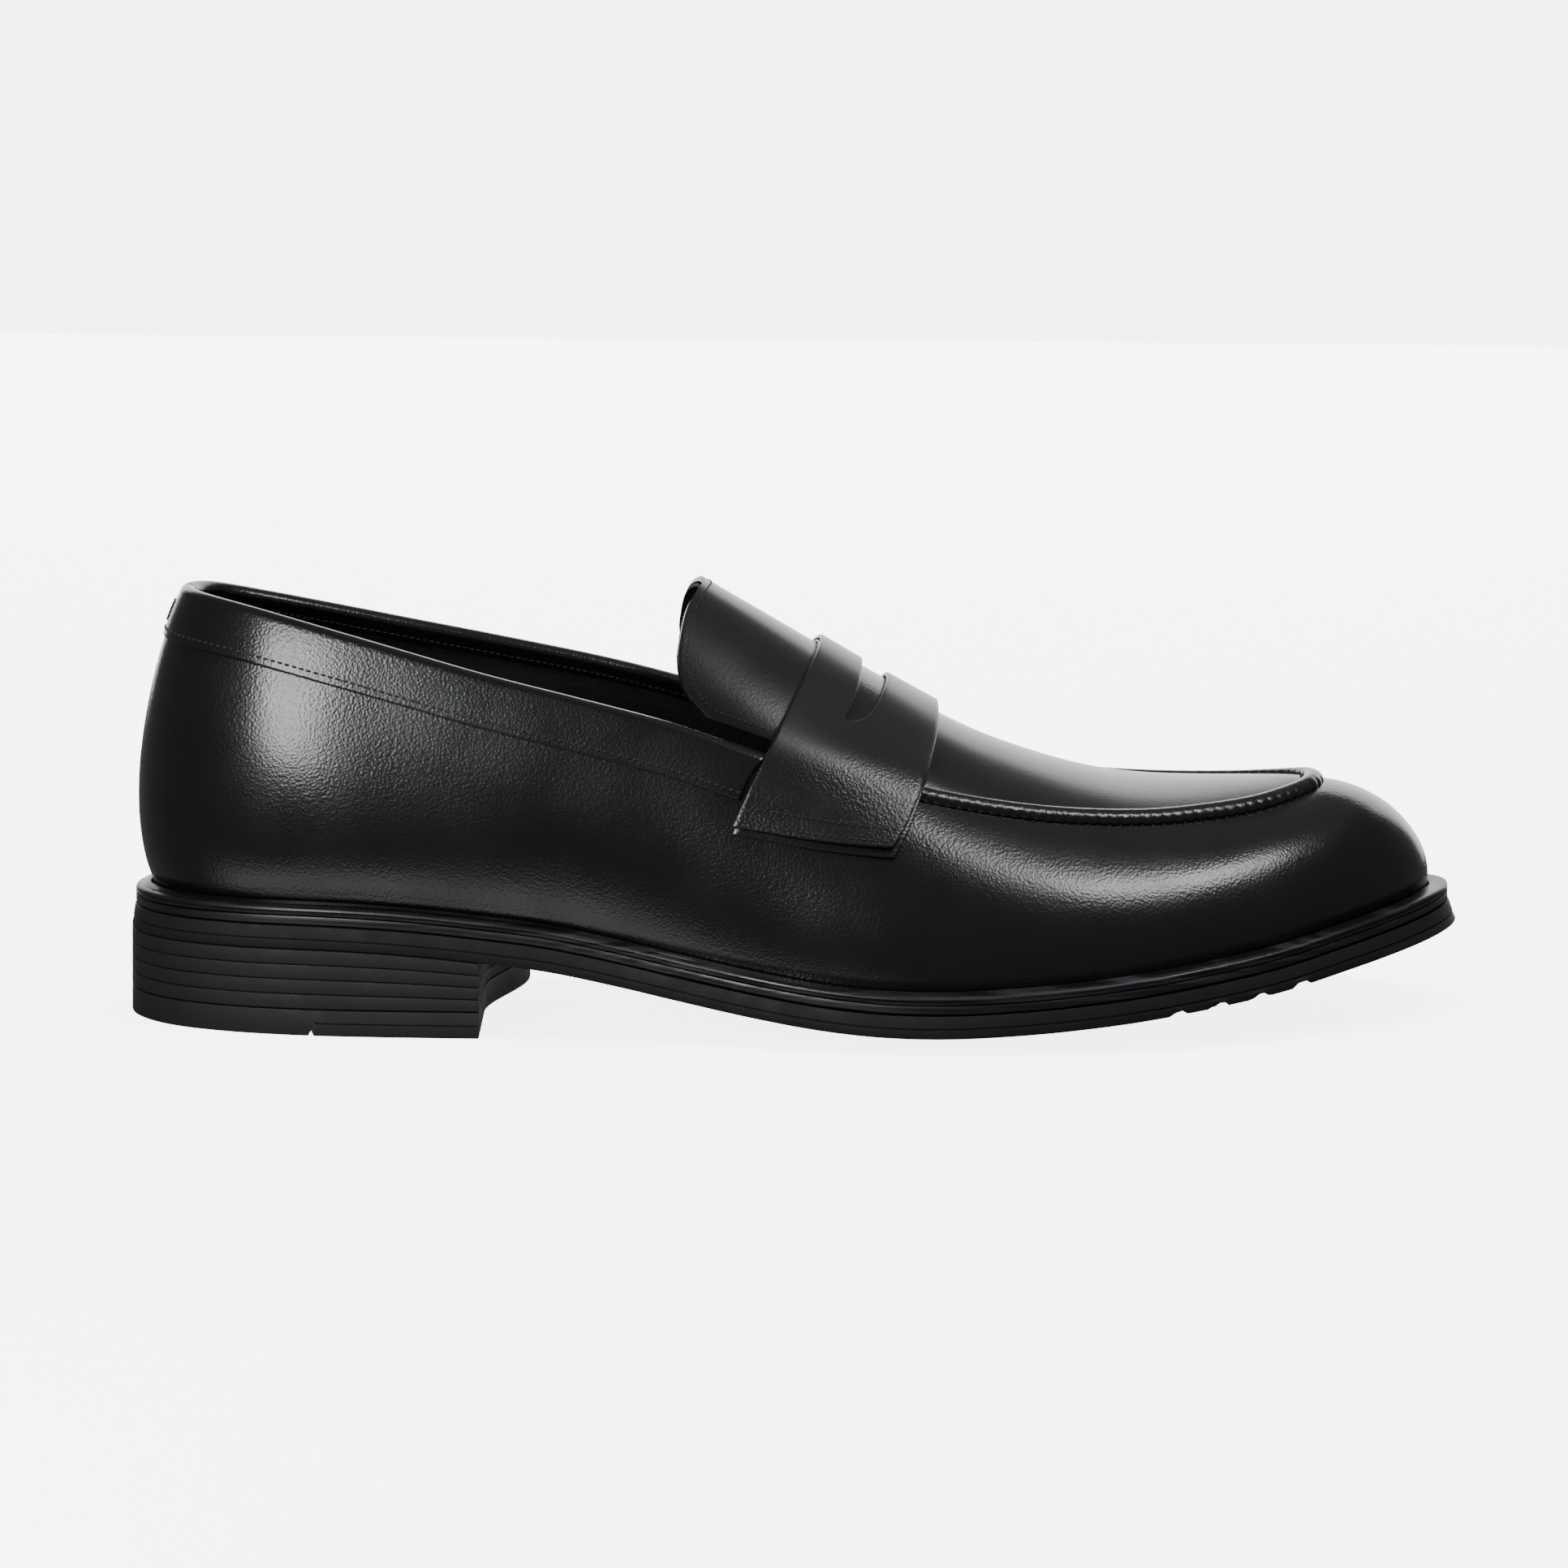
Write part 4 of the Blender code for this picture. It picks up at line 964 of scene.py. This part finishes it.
def make_tongue_stitches():
    """Row that follows the tongue's free edge and its sides down to the strap."""
    side_s = (143.0, 140.0, 137.0, 134.0)
    w = eased(120)
    path = [(crown_u_at(s, 0.0), 0.0) for s in side_s]
    path += [(crown_u_at(spline(TONGUE_FREE, abs(2 * one - 1)), one), one) for one in w]
    path += [(crown_u_at(s, 1.0), 1.0) for s in side_s[::-1]]
    line = np.array([crown(u, one) for u, one in path])
    even = np.linspace(0, arc_length(line)[-1], 240)
    line = resampled(line, even)
    for _ in range(30):
        line[1:-1] = 0.25 * line[:-2] + 0.5 * line[1:-1] + 0.25 * line[2:]
    along = unit(np.gradient(line, axis=0))
    none = np.zeros(len(line))
    ahead = np.column_stack([TONGUE_MIDDLE_S - line[:, 0], CENTRE_Y - line[:, 1], none])
    up = np.column_stack([none, 0.05 * (line[:, 1] - CENTRE_Y), none + 1.0])
    normal = unit(up - along * (up * along).sum(axis=1, keepdims=True))
    inward = unit(np.cross(normal, along))
    inward *= np.sign((inward * ahead).sum(axis=1, keepdims=True))
    inset = line + inward * TONGUE_INSET
    rear = lambda away: spline(TONGUE_FREE, away) - 1.0
    surface = crown_grid(rear, 90, 90, lambda away: TONGUE_MIDDLE_S)
    normals = -grid_normals(surface).reshape(-1, 3)
    points = surface.reshape(-1, 3)
    rows = []
    for point in inset:
        nearest = np.argsort(((points - point) ** 2).sum(axis=1))[:6]
        up = unit(normals[nearest].mean(axis=0))
        centre = points[nearest].mean(axis=0)
        rows.append((point + up * ((centre - point) @ up), up))
    line = np.array([row[0] for row in rows])
    normal = np.array([row[1] for row in rows])
    stitches = stitch_row("tongue_stitches", [(line, normal)], LOOKS["thread"], 1.35, 0.95, 0.2, None)
    bend_with_tongue(stitches)


# ---------------------------------------------------------------- moccasin seam


def seam_frame(samples):
    """Centre line of the raised seam, with its inward and upward directions."""
    start = u_at_s(lambda us: spline(LOOP, us)[:, 2:], RIDGE_START)
    us = start + (1 - 2 * start) * np.linspace(0, 1, samples)
    head = spline(LOOP, us)[:, 2:]
    inward = np.concatenate([-plan_normal(us, 2), np.zeros((len(us), 1))], axis=1)
    rise = seam_rise(us)
    centre = head + inward * RIDGE_IN + 0.5 * rise
    lean = unit(inward * APRON_IN + rise)
    up = unit(np.array([0.0, 0.0, 1.0]) * APRON_IN - inward * rise[:, 2:])
    return centre, lean, up


def make_seam():
    """Rounded roll where apron and wall are joined, drawn in by a hand-sewn stitch along each side."""
    rough_centre = seam_frame(400)[0]
    count = int(arc_length(rough_centre)[-1] / SEAM_PITCH * 7)
    centre, lean, up = seam_frame(count)
    run = arc_length(centre)
    pull = (0.5 - 0.5 * np.cos(2 * math.pi * run / SEAM_PITCH)) ** 2
    ends = smooth_step(0.0, 4.0, run) * smooth_step(0.0, 4.0, run[-1] - run)
    rings = []
    for angle in np.linspace(0, 2 * math.pi, SEAM_SIDES + 1)[:-1]:
        outer_edge = max(-math.cos(angle), 0.0) ** 2
        inner_edge = max(math.cos(angle), 0.0) ** 4
        pinch = 1 - (0.13 * outer_edge + 0.04 * inner_edge) * pull
        across = (RIDGE_HALF_WIDTH + 0.4 * outer_edge) * math.cos(angle) * pinch
        height = (1.95 if math.sin(angle) > 0 else 2.1) * math.sin(angle) * (0.55 + 0.45 * ends) * pinch
        rings.append(centre + lean * across[:, None] + up * height[:, None])
    tube = np.array(rings)
    faces = [tuple(reversed(face)) for face in grid_faces(SEAM_SIDES, count)]
    last = (SEAM_SIDES - 1) * count
    faces += [(i, i + 1, last + i + 1, last + i) for i in range(count - 1)]
    for i in (0, count - 1):
        faces.append(tuple(k * count + i for k in range(SEAM_SIDES)))
    piece = add_piece("seam_roll", tube.reshape(-1, 3), faces, LOOKS["seam"], sharp=60.0)
    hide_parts("moccasin_ridge")
    outer = centre - lean * (RIDGE_HALF_WIDTH + 0.3) - up * 0.6
    inner = centre + lean * (RIDGE_HALF_WIDTH - 0.1) + up * 0.5
    outer_row, inner_row = (outer, unit(0.4 * up - lean)), (inner, unit(up + lean))
    stitch_row("seam_stitches_outer", [outer_row], LOOKS["thread"], SEAM_PITCH, 1.7, 0.27, slant=0.5)
    stitch_row("seam_stitches_inner", [inner_row], LOOKS["thread"], SEAM_PITCH, 1.2, 0.2, slant=-0.6)


# ---------------------------------------------------------------- strap


def upper_hull(line):
    """Points of a cross-section that a strap pulled taut over it would touch, from side to side."""
    kept = []
    for point in line:
        while len(kept) > 1:
            a, b = kept[-2], kept[-1]
            if (b[1] - a[1]) * (point[2] - a[2]) - (b[2] - a[2]) * (point[1] - a[1]) < 0:
                break
            kept.pop()
        kept.append(point)
    return np.array(kept)


def strap_line(rear_share, drop_extra, front_extra, across):
    """One line of the strap from its lateral end to its medial end; rear_share is 0 at the rear edge."""
    drop = STRAP_DROP_REAR + (STRAP_DROP_FRONT - STRAP_DROP_REAR) * rear_share + drop_extra

    def s_at(away):
        front = spline(STRAP_FRONT, away) + front_extra
        return spline(STRAP_REAR, away) + (front - spline(STRAP_REAR, away)) * rear_share

    sides = []
    downward = np.linspace(0.03, 1.0, 12)
    for side in (-1, 1):
        points = []
        for share in downward:
            line = lambda us, d=drop * share, k=side: wall_below_top(on_side(us, k), np.full(us.shape, d))
            u = on_side(u_at_s(line, s_at(1.0 + share)), side)
            points.append(wall_below_top(np.array([u]), np.array([drop * share]))[0])
        u = on_side(u_at_s(lambda us, k=side: spline(LOOP, on_side(us, k))[:, 2:], s_at(1.0)), side)
        inward = np.append(-plan_normal(np.array([u]), 2)[0], 0.0)
        crest = spline(LOOP, u)[2:] + inward * (RIDGE_IN - 0.6) + np.array([0.0, 0.0, SEAM_ALLOWANCE])
        points.insert(0, crest)
        sides.append(points)
    middle = [crown(crown_u_at(s_at(abs(2 * w - 1)), w), w) for w in np.linspace(0.05, 0.95, 45)]
    hull = upper_hull(np.array(sides[0][::-1] + middle + sides[1]))
    even = resampled(hull, np.linspace(0, arc_length(hull)[-1], across))
    ends = even[[0, -1]].copy()
    even = np.concatenate([2 * even[0] - even[40:0:-1], even, 2 * even[-1] - even[-2:-42:-1]])
    weights = np.exp(-0.5 * (np.arange(-24, 25) / 7.0) ** 2)
    weights /= weights.sum()
    even = np.column_stack([np.convolve(even[:, axis], weights, "same") for axis in range(3)])[40:-40]
    even[[0, -1]] = ends
    return even


def strap_surface(drop_extra, front_extra, height, lines=25, across=201):
    shares = np.linspace(0, 1, lines)
    grid = np.array([strap_line(share, drop_extra, front_extra, across) for share in shares])
    for _ in range(3):
        grid[1:-1] = 0.25 * grid[:-2] + 0.5 * grid[1:-1] + 0.25 * grid[2:]
    return offset(grid, -height)


def slot_front(y):
    """s of the slot's elliptic front edge; past the tips both edges go on as one line."""
    tip_s, tip_y = SLOT_TIP
    bow = np.sqrt(np.clip(1 - (y / tip_y) ** 2, 0, None))
    return tip_s + (SLOT_FRONT - tip_s) * bow - 0.3 * np.maximum(np.abs(y) - tip_y, 0.0)


def slot_rear(y):
    tip_s, tip_y = SLOT_TIP
    bow = 1 - np.minimum(np.abs(y) / tip_y, 1.0) ** SLOT_REAR_BEND
    return tip_s + (SLOT_REAR - tip_s) * bow - 0.3 * np.maximum(np.abs(y) - tip_y, 0.0)


def share_at_slot(grid, edge):
    """For each column of the strap, how far between its edges the slot's edge crosses it."""
    shares = np.linspace(0, 1, len(grid))
    past = grid[..., 0] - edge(grid[..., 1])
    return np.array([np.interp(0.0, past[:, column], shares) for column in range(grid.shape[1])])


def between_shares(grid, first, last, rows):
    """Rows of a grid between two shares given for each column."""
    q = np.linspace(0, 1, rows)[:, None]
    wanted = (first + (last - first) * q) * (len(grid) - 1)
    low = np.clip(wanted.astype(int), 0, len(grid) - 2)
    part = (wanted - low)[..., None]
    columns = np.arange(grid.shape[1])[None, :]
    return grid[low, columns] * (1 - part) + grid[low + 1, columns] * part


def make_strap():
    under = strap_surface(1.6, 0.4, UNDERLAY_OVER)[:, ::-1]
    lip = sheet("strap_underlay", under, LOOKS["side"], UNDERLAY_THICK, 0.16)
    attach(lip, "shoe")
    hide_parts("strap_backing")

    surface = strap_surface(0.0, 0.0, STRAP_OVER)[:, ::-1]
    none, full = np.zeros(surface.shape[1]), np.ones(surface.shape[1])
    rear = between_shares(surface, none, share_at_slot(surface, slot_rear), 20)
    front = between_shares(surface, share_at_slot(surface, slot_front), full, 14)
    points = np.concatenate([rear.reshape(-1, 3), front.reshape(-1, 3)])
    faces = grid_faces(*rear.shape[:2])
    faces += grid_faces(*front.shape[:2], False, rear.shape[0] * rear.shape[1])
    strap = add_piece("strap_leather", points, faces, LOOKS["strap"], None)
    thicken(strap, STRAP_THICK)
    soften(strap, 0.3)
    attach(strap, "shoe")
    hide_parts("saddle_strap")
    make_strap_stitches(surface)


def strap_point(surface, share, distance, end):
    """Point of the strap, and its normal, at a distance in from one of its ends."""
    position = share * (len(surface) - 1)
    line = row_at(surface, position)
    normals = row_at(grid_normals(surface), position)
    if end > 0:
        line, normals = line[::-1], normals[::-1]
    run = arc_length(line)
    here = [np.interp(distance, run, line[:, axis]) for axis in range(3)]
    return here, [np.interp(distance, run, normals[:, axis]) for axis in range(3)]


def make_strap_stitches(surface):
    """Two rows across each end of the strap, joined at the sides into a long box."""
    low, high, first, last = 1.5, 4.9, 0.045, 0.955
    rows = []
    for end in (-1, 1):
        shares = np.linspace(first, last, 40)
        steps = np.linspace(low, high, 8)
        lines = [[(share, low) for share in shares], [(share, high) for share in shares]]
        lines += [[(first, step) for step in steps], [(last, step) for step in steps]]
        for line in lines:
            found = [strap_point(surface, share, distance, end) for share, distance in line]
            rows.append(tuple(np.array(values) for values in zip(*found)))
    stitch_row("strap_stitches", rows, LOOKS["thread"], 1.5, 1.1, 0.24)


# ---------------------------------------------------------------- bottom and heel


def make_welt():
    """Rim round the upper, its top edge rounded and polished, reaching in under the turned edge."""
    u = np.arange(COLUMNS) / COLUMNS
    edge = rim(u)
    section = (
        (np.full(u.shape, -WELT_UNDER), WELT_BOTTOM),
        (edge - 0.12, WELT_BOTTOM),
        (edge, WELT_BOTTOM + 0.12),
        (edge, 8.3),
        (edge - 0.2, 8.42),
        (edge - 0.2, 8.5),
        (edge, 8.62),
        (edge - 0.05, 8.92),
        (edge - 0.28, 9.28),
        (edge - 0.68, 9.56),
        (edge - 1.2, 9.72),
        (0.55 * edge + 0.3, 9.95),
        (np.full(u.shape, 0.75), WELT_INNER_TOP - 0.25),
        (np.full(u.shape, 0.42), WELT_INNER_TOP - 0.5),
        (np.full(u.shape, 0.4), WELT_STEP),
        (np.full(u.shape, -WELT_UNDER), WELT_STEP),
    )
    tube = np.array([lifted(outline(u, out), level) for out, level in section])
    rows, count = tube.shape[:2]
    faces = grid_faces(rows, count, True)
    last = (rows - 1) * count
    for i in range(count):
        beside = (i + 1) % count
        faces.append((last + i, last + beside, beside, i))
    piece = add_piece("welt_rim", tube.reshape(-1, 3), faces, LOOKS["edge"])
    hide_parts("welt")


def tread(points):
    """Lifts the sole's underside into cross channels under the ball, open at the sides further forward."""
    s, y = points[..., 0], points[..., 1]
    lateral = np.interp(s, SIDES[0][:, 0], SIDES[0][:, 1])
    medial = np.interp(s, SIDES[1][:, 0], SIDES[1][:, 1])
    margin = np.minimum(y - lateral, medial - y)
    bowed = s + 0.004 * (y - 2.0) ** 2
    wave = np.abs(np.mod(bowed, TREAD_PITCH) - 0.5 * TREAD_PITCH)
    channel = 1 - smooth_step(TREAD_WIDTH - 0.35, TREAD_WIDTH + 0.35, wave)

    def within(span):
        start, end = (smooth_step(s_edge - 0.5, s_edge + 0.5, bowed) for s_edge in span)
        return start - end

    inside = smooth_step(4.0, 5.0, margin) * within(TREAD_SPAN)
    depth = TREAD_DEPTH * channel * np.maximum(inside, within(TREAD_OPEN))
    return points + depth[..., None] * np.array([0.0, 0.0, 1.0])


def side_profile(low, high, lip_low, lip_high, grooves=()):
    """Side of a layer from its lower to its upper edge, with softened corners and thin grooves."""

    def lip(level):
        return lip_low + (lip_high - lip_low) * (level - low) / (high - low)

    rows = [(lip_low, 0.55, low), (lip_low, 0.16, low + 0.16), (lip_low, 0.0, low + 0.55)]
    for level, depth in grooves:
        rows += [(lip(level), 0.0, level - 0.2), (lip(level), depth, level - 0.1)]
        rows += [(lip(level), depth, level + 0.1), (lip(level), 0.0, level + 0.2)]
    return rows + [(lip_high, 0.0, high - 0.2), (lip_high, 0.06, high - 0.06), (lip_high, 0.2, high)]


def make_sole():
    midsole = plate_with_sides("midsole_edge", side_profile(*MIDSOLE, 0.0, 0.0), LOOKS["edge"], 190, 12)
    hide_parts("midsole")
    profile = side_profile(*OUTSOLE, 1.0, 0.2, ((2.3, 0.3),))
    outsole = plate_with_sides("outsole_rubber", profile, LOOKS["sole"], 440, 34, tread)
    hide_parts("outsole")
    return outsole


def breast_lean(w):
    """The front face of the heel is straight across the lateral half and swings forward medially."""
    return smooth_step(0.42, 1.0, w)


def heel_layer(name, profile, look, stations=46, across=24):
    """Slice of the heel whose side is a profile of (inset, level), each level a function of s."""
    u = np.linspace(0.0, 0.5, 300)
    lateral, medial = bottom_outline(u, 1.0), bottom_outline(1 - u, 1.0)
    run = eased(stations, 0.0, 0.62) / eased(2, 0.0, 0.62)[-1]
    points, faces = [], []

    def plan_of(inset, level):
        flare = HEEL_FLARE * (1 - level(np.array([0.0]))[0] / HEEL_HEIGHT)
        end_l = np.interp(BREAST_LATERAL - inset, lateral[:, 0], u)
        end_m = np.interp(BREAST_MEDIAL - inset, medial[:, 0], u)
        left = bottom_outline(end_l * run, 1.0, inset - flare)
        right = bottom_outline(1 - end_m * run, 1.0, inset - flare)
        plan = ladder(left, right, across, breast_lean)
        return np.concatenate([plan, level(plan[..., 0])[..., None]], axis=-1)

    caps = [plan_of(inset, level) for inset, level in profile]
    rings = [np.concatenate([cap[:, 0], cap[-1, 1:], cap[-2:0:-1, -1]]) for cap in caps]
    points.append(np.array(rings).reshape(-1, 3))
    faces += grid_faces(len(rings), len(rings[0]), True)
    for cap in (caps[0], caps[-1]):
        faces += grid_faces(stations, across, False, sum(map(len, points)))
        points.append(cap.reshape(-1, 3))
    return add_piece(name, np.concatenate(points), faces, look)


def layer_level(share, shift):
    """Level between the top piece and the sole, which thins towards the breast as the sole comes down."""
    return lambda s: TOP_PIECE_HEIGHT + (spline(EDGE, s) - TOP_PIECE_HEIGHT) * share + shift


def flat_level(level):
    return lambda s: np.full(np.shape(s), level)


def notch_solid():
    """Small V cut across the tread of the top piece, where its rear part ends."""
    corners = ((TIP_SPLIT - 0.85, -0.3), (TIP_SPLIT + 0.75, -0.3), (TIP_SPLIT, 1.25))
    points = [(s, y, z) for y in (-60.0, 60.0) for s, z in corners]
    faces = [(0, 1, 2), (5, 4, 3), (0, 3, 4, 1), (1, 4, 5, 2), (2, 5, 3, 0)]
    return add_piece("notch_solid", np.array(points), faces, LOOKS["heel"], None)


def groove_solids():
    """Fine line along each side of the front part of the top piece."""
    solids = []
    u = np.linspace(0.0, 0.5, 300)
    for side, end in ((-1, BREAST_LATERAL), (1, BREAST_MEDIAL)):
        line = bottom_outline(on_side(u, side), 1.0)
        reach = np.interp((TIP_SPLIT + 1.0, end - 0.4), line[:, 0], u)
        along = on_side(np.linspace(*reach, 40), side)
        grids = []
        for out in (1.0, -0.3):
            plan = bottom_outline(along, 1.0, -out)
            grids.append(np.array([np.column_stack([plan, np.full(len(plan), z)]) for z in TIP_GROOVE]))
        solids.append(shell("groove_solid", grids[0], grids[1], LOOKS["heel"], body=None))
    return solids


def nail_solids():
    """Room for the heel nails and their heads, as turned solids."""
    solids = []
    for s, y in NAIL_SPOTS:
        seat = float(bottom_z(s, y, OUTSOLE[1]))
        head = seat - NAIL_HEAD_HEIGHT - NAIL_CLEAR
        narrow, wide = NAIL_RADIUS + NAIL_CLEAR, NAIL_HEAD_RADIUS + NAIL_CLEAR
        profile = ((narrow, NAIL_TIP), (narrow, head), (wide, head), (wide, seat + 2.0))
        angles = np.linspace(0, 2 * math.pi, NAIL_SIDES + 1)[:-1]
        points = [(s + r * math.cos(a), y + r * math.sin(a), z) for r, z in profile for a in angles]
        faces = grid_faces(len(profile), NAIL_SIDES, True)
        faces += [tuple(reversed(range(NAIL_SIDES))), tuple(range(len(points) - NAIL_SIDES, len(points)))]
        solids.append(add_piece("nail_room", np.array(points), faces, LOOKS["heel"], None))
    return solids


def make_heel():
    lifts = []
    for number in range(LIFTS):
        low, high = number / LIFTS, (number + 1) / LIFTS
        profile = [
            (0.3, layer_level(low, 0.02)),
            (0.05, layer_level(low, 0.1)),
            (0.0, layer_level(low, 0.3)),
            (0.0, layer_level(high, -0.38)),
            (0.05, layer_level(high, -0.18)),
            (0.3, layer_level(high, -0.1)),
        ]
        lift = heel_layer(f"heel_layer_{number + 1}", profile, LOOKS["heel"])
        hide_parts(f"heel_lift_{number + 1}")
        lifts.append(lift)
    profile = [(0.35, flat_level(0.0)), (0.1, flat_level(0.1)), (0.0, flat_level(0.35))]
    profile += [(0.0, flat_level(5.6)), (0.05, flat_level(5.8)), (0.3, flat_level(5.86))]
    tip = heel_layer("heel_top_piece", profile, LOOKS["heel"])
    cut(tip, notch_solid())
    for solid in groove_solids():
        cut(tip, solid)
    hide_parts("top_piece")
    return lifts


def inner_plate(name, low, high, look, inset, s_range, across, stations):
    """Plate inside the upper, whose edge follows the feather line, between two values of s."""
    u = 0.5 * eased(200)
    middle = 0.5 * (outline(u, -inset)[:, 0] + outline(1 - u, -inset)[:, 0])
    reach = [np.interp(s, middle, u) for s in s_range]
    u = reach[0] + (reach[1] - reach[0]) * eased(stations)
    plan = ladder(outline(u, -inset), outline(1 - u, -inset), across)
    upper, lower = (lifted(plan, level(plan[..., 0])) for level in (high, low))
    piece = shell(name, upper[:, ::-1], lower[:, ::-1], look, body=None)
    soften(piece, 0.3)
    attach(piece, "shoe")
    return piece


def pad_rise(s):
    return 2.6 * (1 - smooth_step(58.0, 92.0, s))


def make_inside():
    low, high = SOCK
    pad = inner_plate(
        "heel_cushion", flat_level(low), lambda s: low + pad_rise(s) - 0.6, LOOKS["foam"], 8.0,
        (14.0, 75.0), 16, 40,
    )
    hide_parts("heel_pad")
    sock = inner_plate(
        "sock_leather", lambda s: low + pad_rise(s), lambda s: high + pad_rise(s), LOOKS["lining"], 4.6,
        (4.0, 291.0), 24, 130,
    )
    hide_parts("sock_lining")


CAD_LOOKS = {
    "heel_counter": "board",
    "toe_puff": "board",
    "insole_board": "board",
    "steel_shank": "steel",
    "cork_filler": "cork",
    "seat_filler": "cork",
    **{f"heel_nail_{number}": "steel" for number in range(1, 6)},
}


def dress_cad_nodes():
    """Carried-over pieces inside the shoe get their own procedural materials."""
    for name, look in CAD_LOOKS.items():
        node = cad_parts[name]
        for holder in node.material_slots:
            holder.material = LOOKS[look]


# ---------------------------------------------------------------- studio


def make_camera():
    data = bpy.data.cameras.new("camera")
    data.lens = LENS
    data.sensor_width = 36.0
    data.clip_start = 0.05
    data.clip_end = 20.0
    camera = bpy.data.objects.new("camera", data)
    bpy.context.scene.collection.objects.link(camera)
    back = Vector((0.0, -math.cos(ELEVATION), math.sin(ELEVATION)))
    camera.location = AIM + back * DISTANCE
    camera.rotation_euler = (-back).to_track_quat("-Z", "Y").to_euler()
    bpy.context.scene.camera = camera


def soft_box(name, location, size, power, target=(0.0, 0.0, 0.05)):
    data = bpy.data.lights.new(name, "AREA")
    data.shape = "RECTANGLE"
    data.size, data.size_y = size
    data.energy = power
    light = bpy.data.objects.new(name, data)
    light.location = location
    light.rotation_euler = (Vector(target) - Vector(location)).to_track_quat("-Z", "Y").to_euler()
    bpy.context.scene.collection.objects.link(light)
    light.visible_camera = False
    return light


def paper_look():
    """White paper that glows, so that it stays pale without more light on the shoe."""
    n = Nodes("pale_paper")
    n.colour(n.noise(3.0), (0.86, 0.86, 0.86), (0.85, 0.85, 0.85))
    n.rough(n.noise(5.0), 0.9, 0.92)
    return n.fixed(Specular_IOR_Level=0.2, Emission_Color=(1.0, 1.0, 1.0, 1.0), Emission_Strength=PAPER_GLOW)


def make_paper():
    """Round sweep: a flat floor that curves up into a wall on every side. Only the camera sees it."""
    profile = [(0.4, 0.0), (1.2, 0.0)]
    for a in np.linspace(0, math.pi / 2, 12):
        profile.append((SWEEP_FLOOR + SWEEP_BEND * math.sin(a), SWEEP_BEND - SWEEP_BEND * math.cos(a)))
    profile.append((SWEEP_FLOOR + SWEEP_BEND, SWEEP_TOP))
    turns = np.linspace(0, 2 * math.pi, PAPER_SIDES + 1)[:-1]
    points = [(r * math.sin(a), r * math.cos(a), z) for r, z in profile for a in turns]
    mesh = bpy.data.meshes.new("sweep")
    middle = tuple(reversed(range(PAPER_SIDES)))
    mesh.from_pydata(points, [], grid_faces(len(profile), PAPER_SIDES, True) + [middle])
    mesh.shade_smooth()
    mesh.materials.append(paper_look())
    paper = bpy.data.objects.new("sweep", mesh)
    bpy.context.scene.collection.objects.link(paper)
    paper.visible_glossy = False
    paper.visible_diffuse = False
    paper.visible_shadow = False


def make_studio():
    """Pale sweep, soft washes that the leather doesn't mirror, and the boxes that it does."""
    make_paper()
    world = bpy.data.worlds.new("studio")
    bpy.context.scene.world = world
    world.use_nodes = True
    world.node_tree.nodes["Background"].inputs["Color"].default_value = (1.0, 1.0, 1.0, 1.0)
    world.node_tree.nodes["Background"].inputs["Strength"].default_value = FILL
    soft_box("backdrop_wash", (0.0, 0.2, 1.9), (2.4, 0.8), 60.0, (0.0, 2.4, 0.7)).visible_glossy = False
    soft_box("floor_wash", (0.0, -0.2, 1.9), (2.4, 1.4), 50.0, (0.0, 0.0, 0.0)).visible_glossy = False
    soft_box("behind", (0.1, 1.3, 0.45), (2.2, 1.1), 20.0)
    soft_box("quarter_box", (-0.39, -0.62, 0.31), (0.17, 0.37), 3.7)
    soft_box("toe_box", (0.27, -0.235, 0.455), (0.18, 0.105), 0.95)
    soft_box("above", (0.5, 0.1, 1.3), (1.4, 1.0), 0.5)
    soft_box("low_fill", (-0.55, -0.8, -0.68), (1.0, 0.35), 1.5)


make_camera()
make_side_wall()
make_linings()
make_collars()
make_bar_tack()
make_crown()
make_tongue_stitches()
make_seam()
make_strap()
make_welt()
outsole = make_sole()
lifts = make_heel()
for layer in (outsole, *lifts):
    for room in nail_solids():
        cut(layer, room)
make_inside()
dress_cad_nodes()
make_studio()
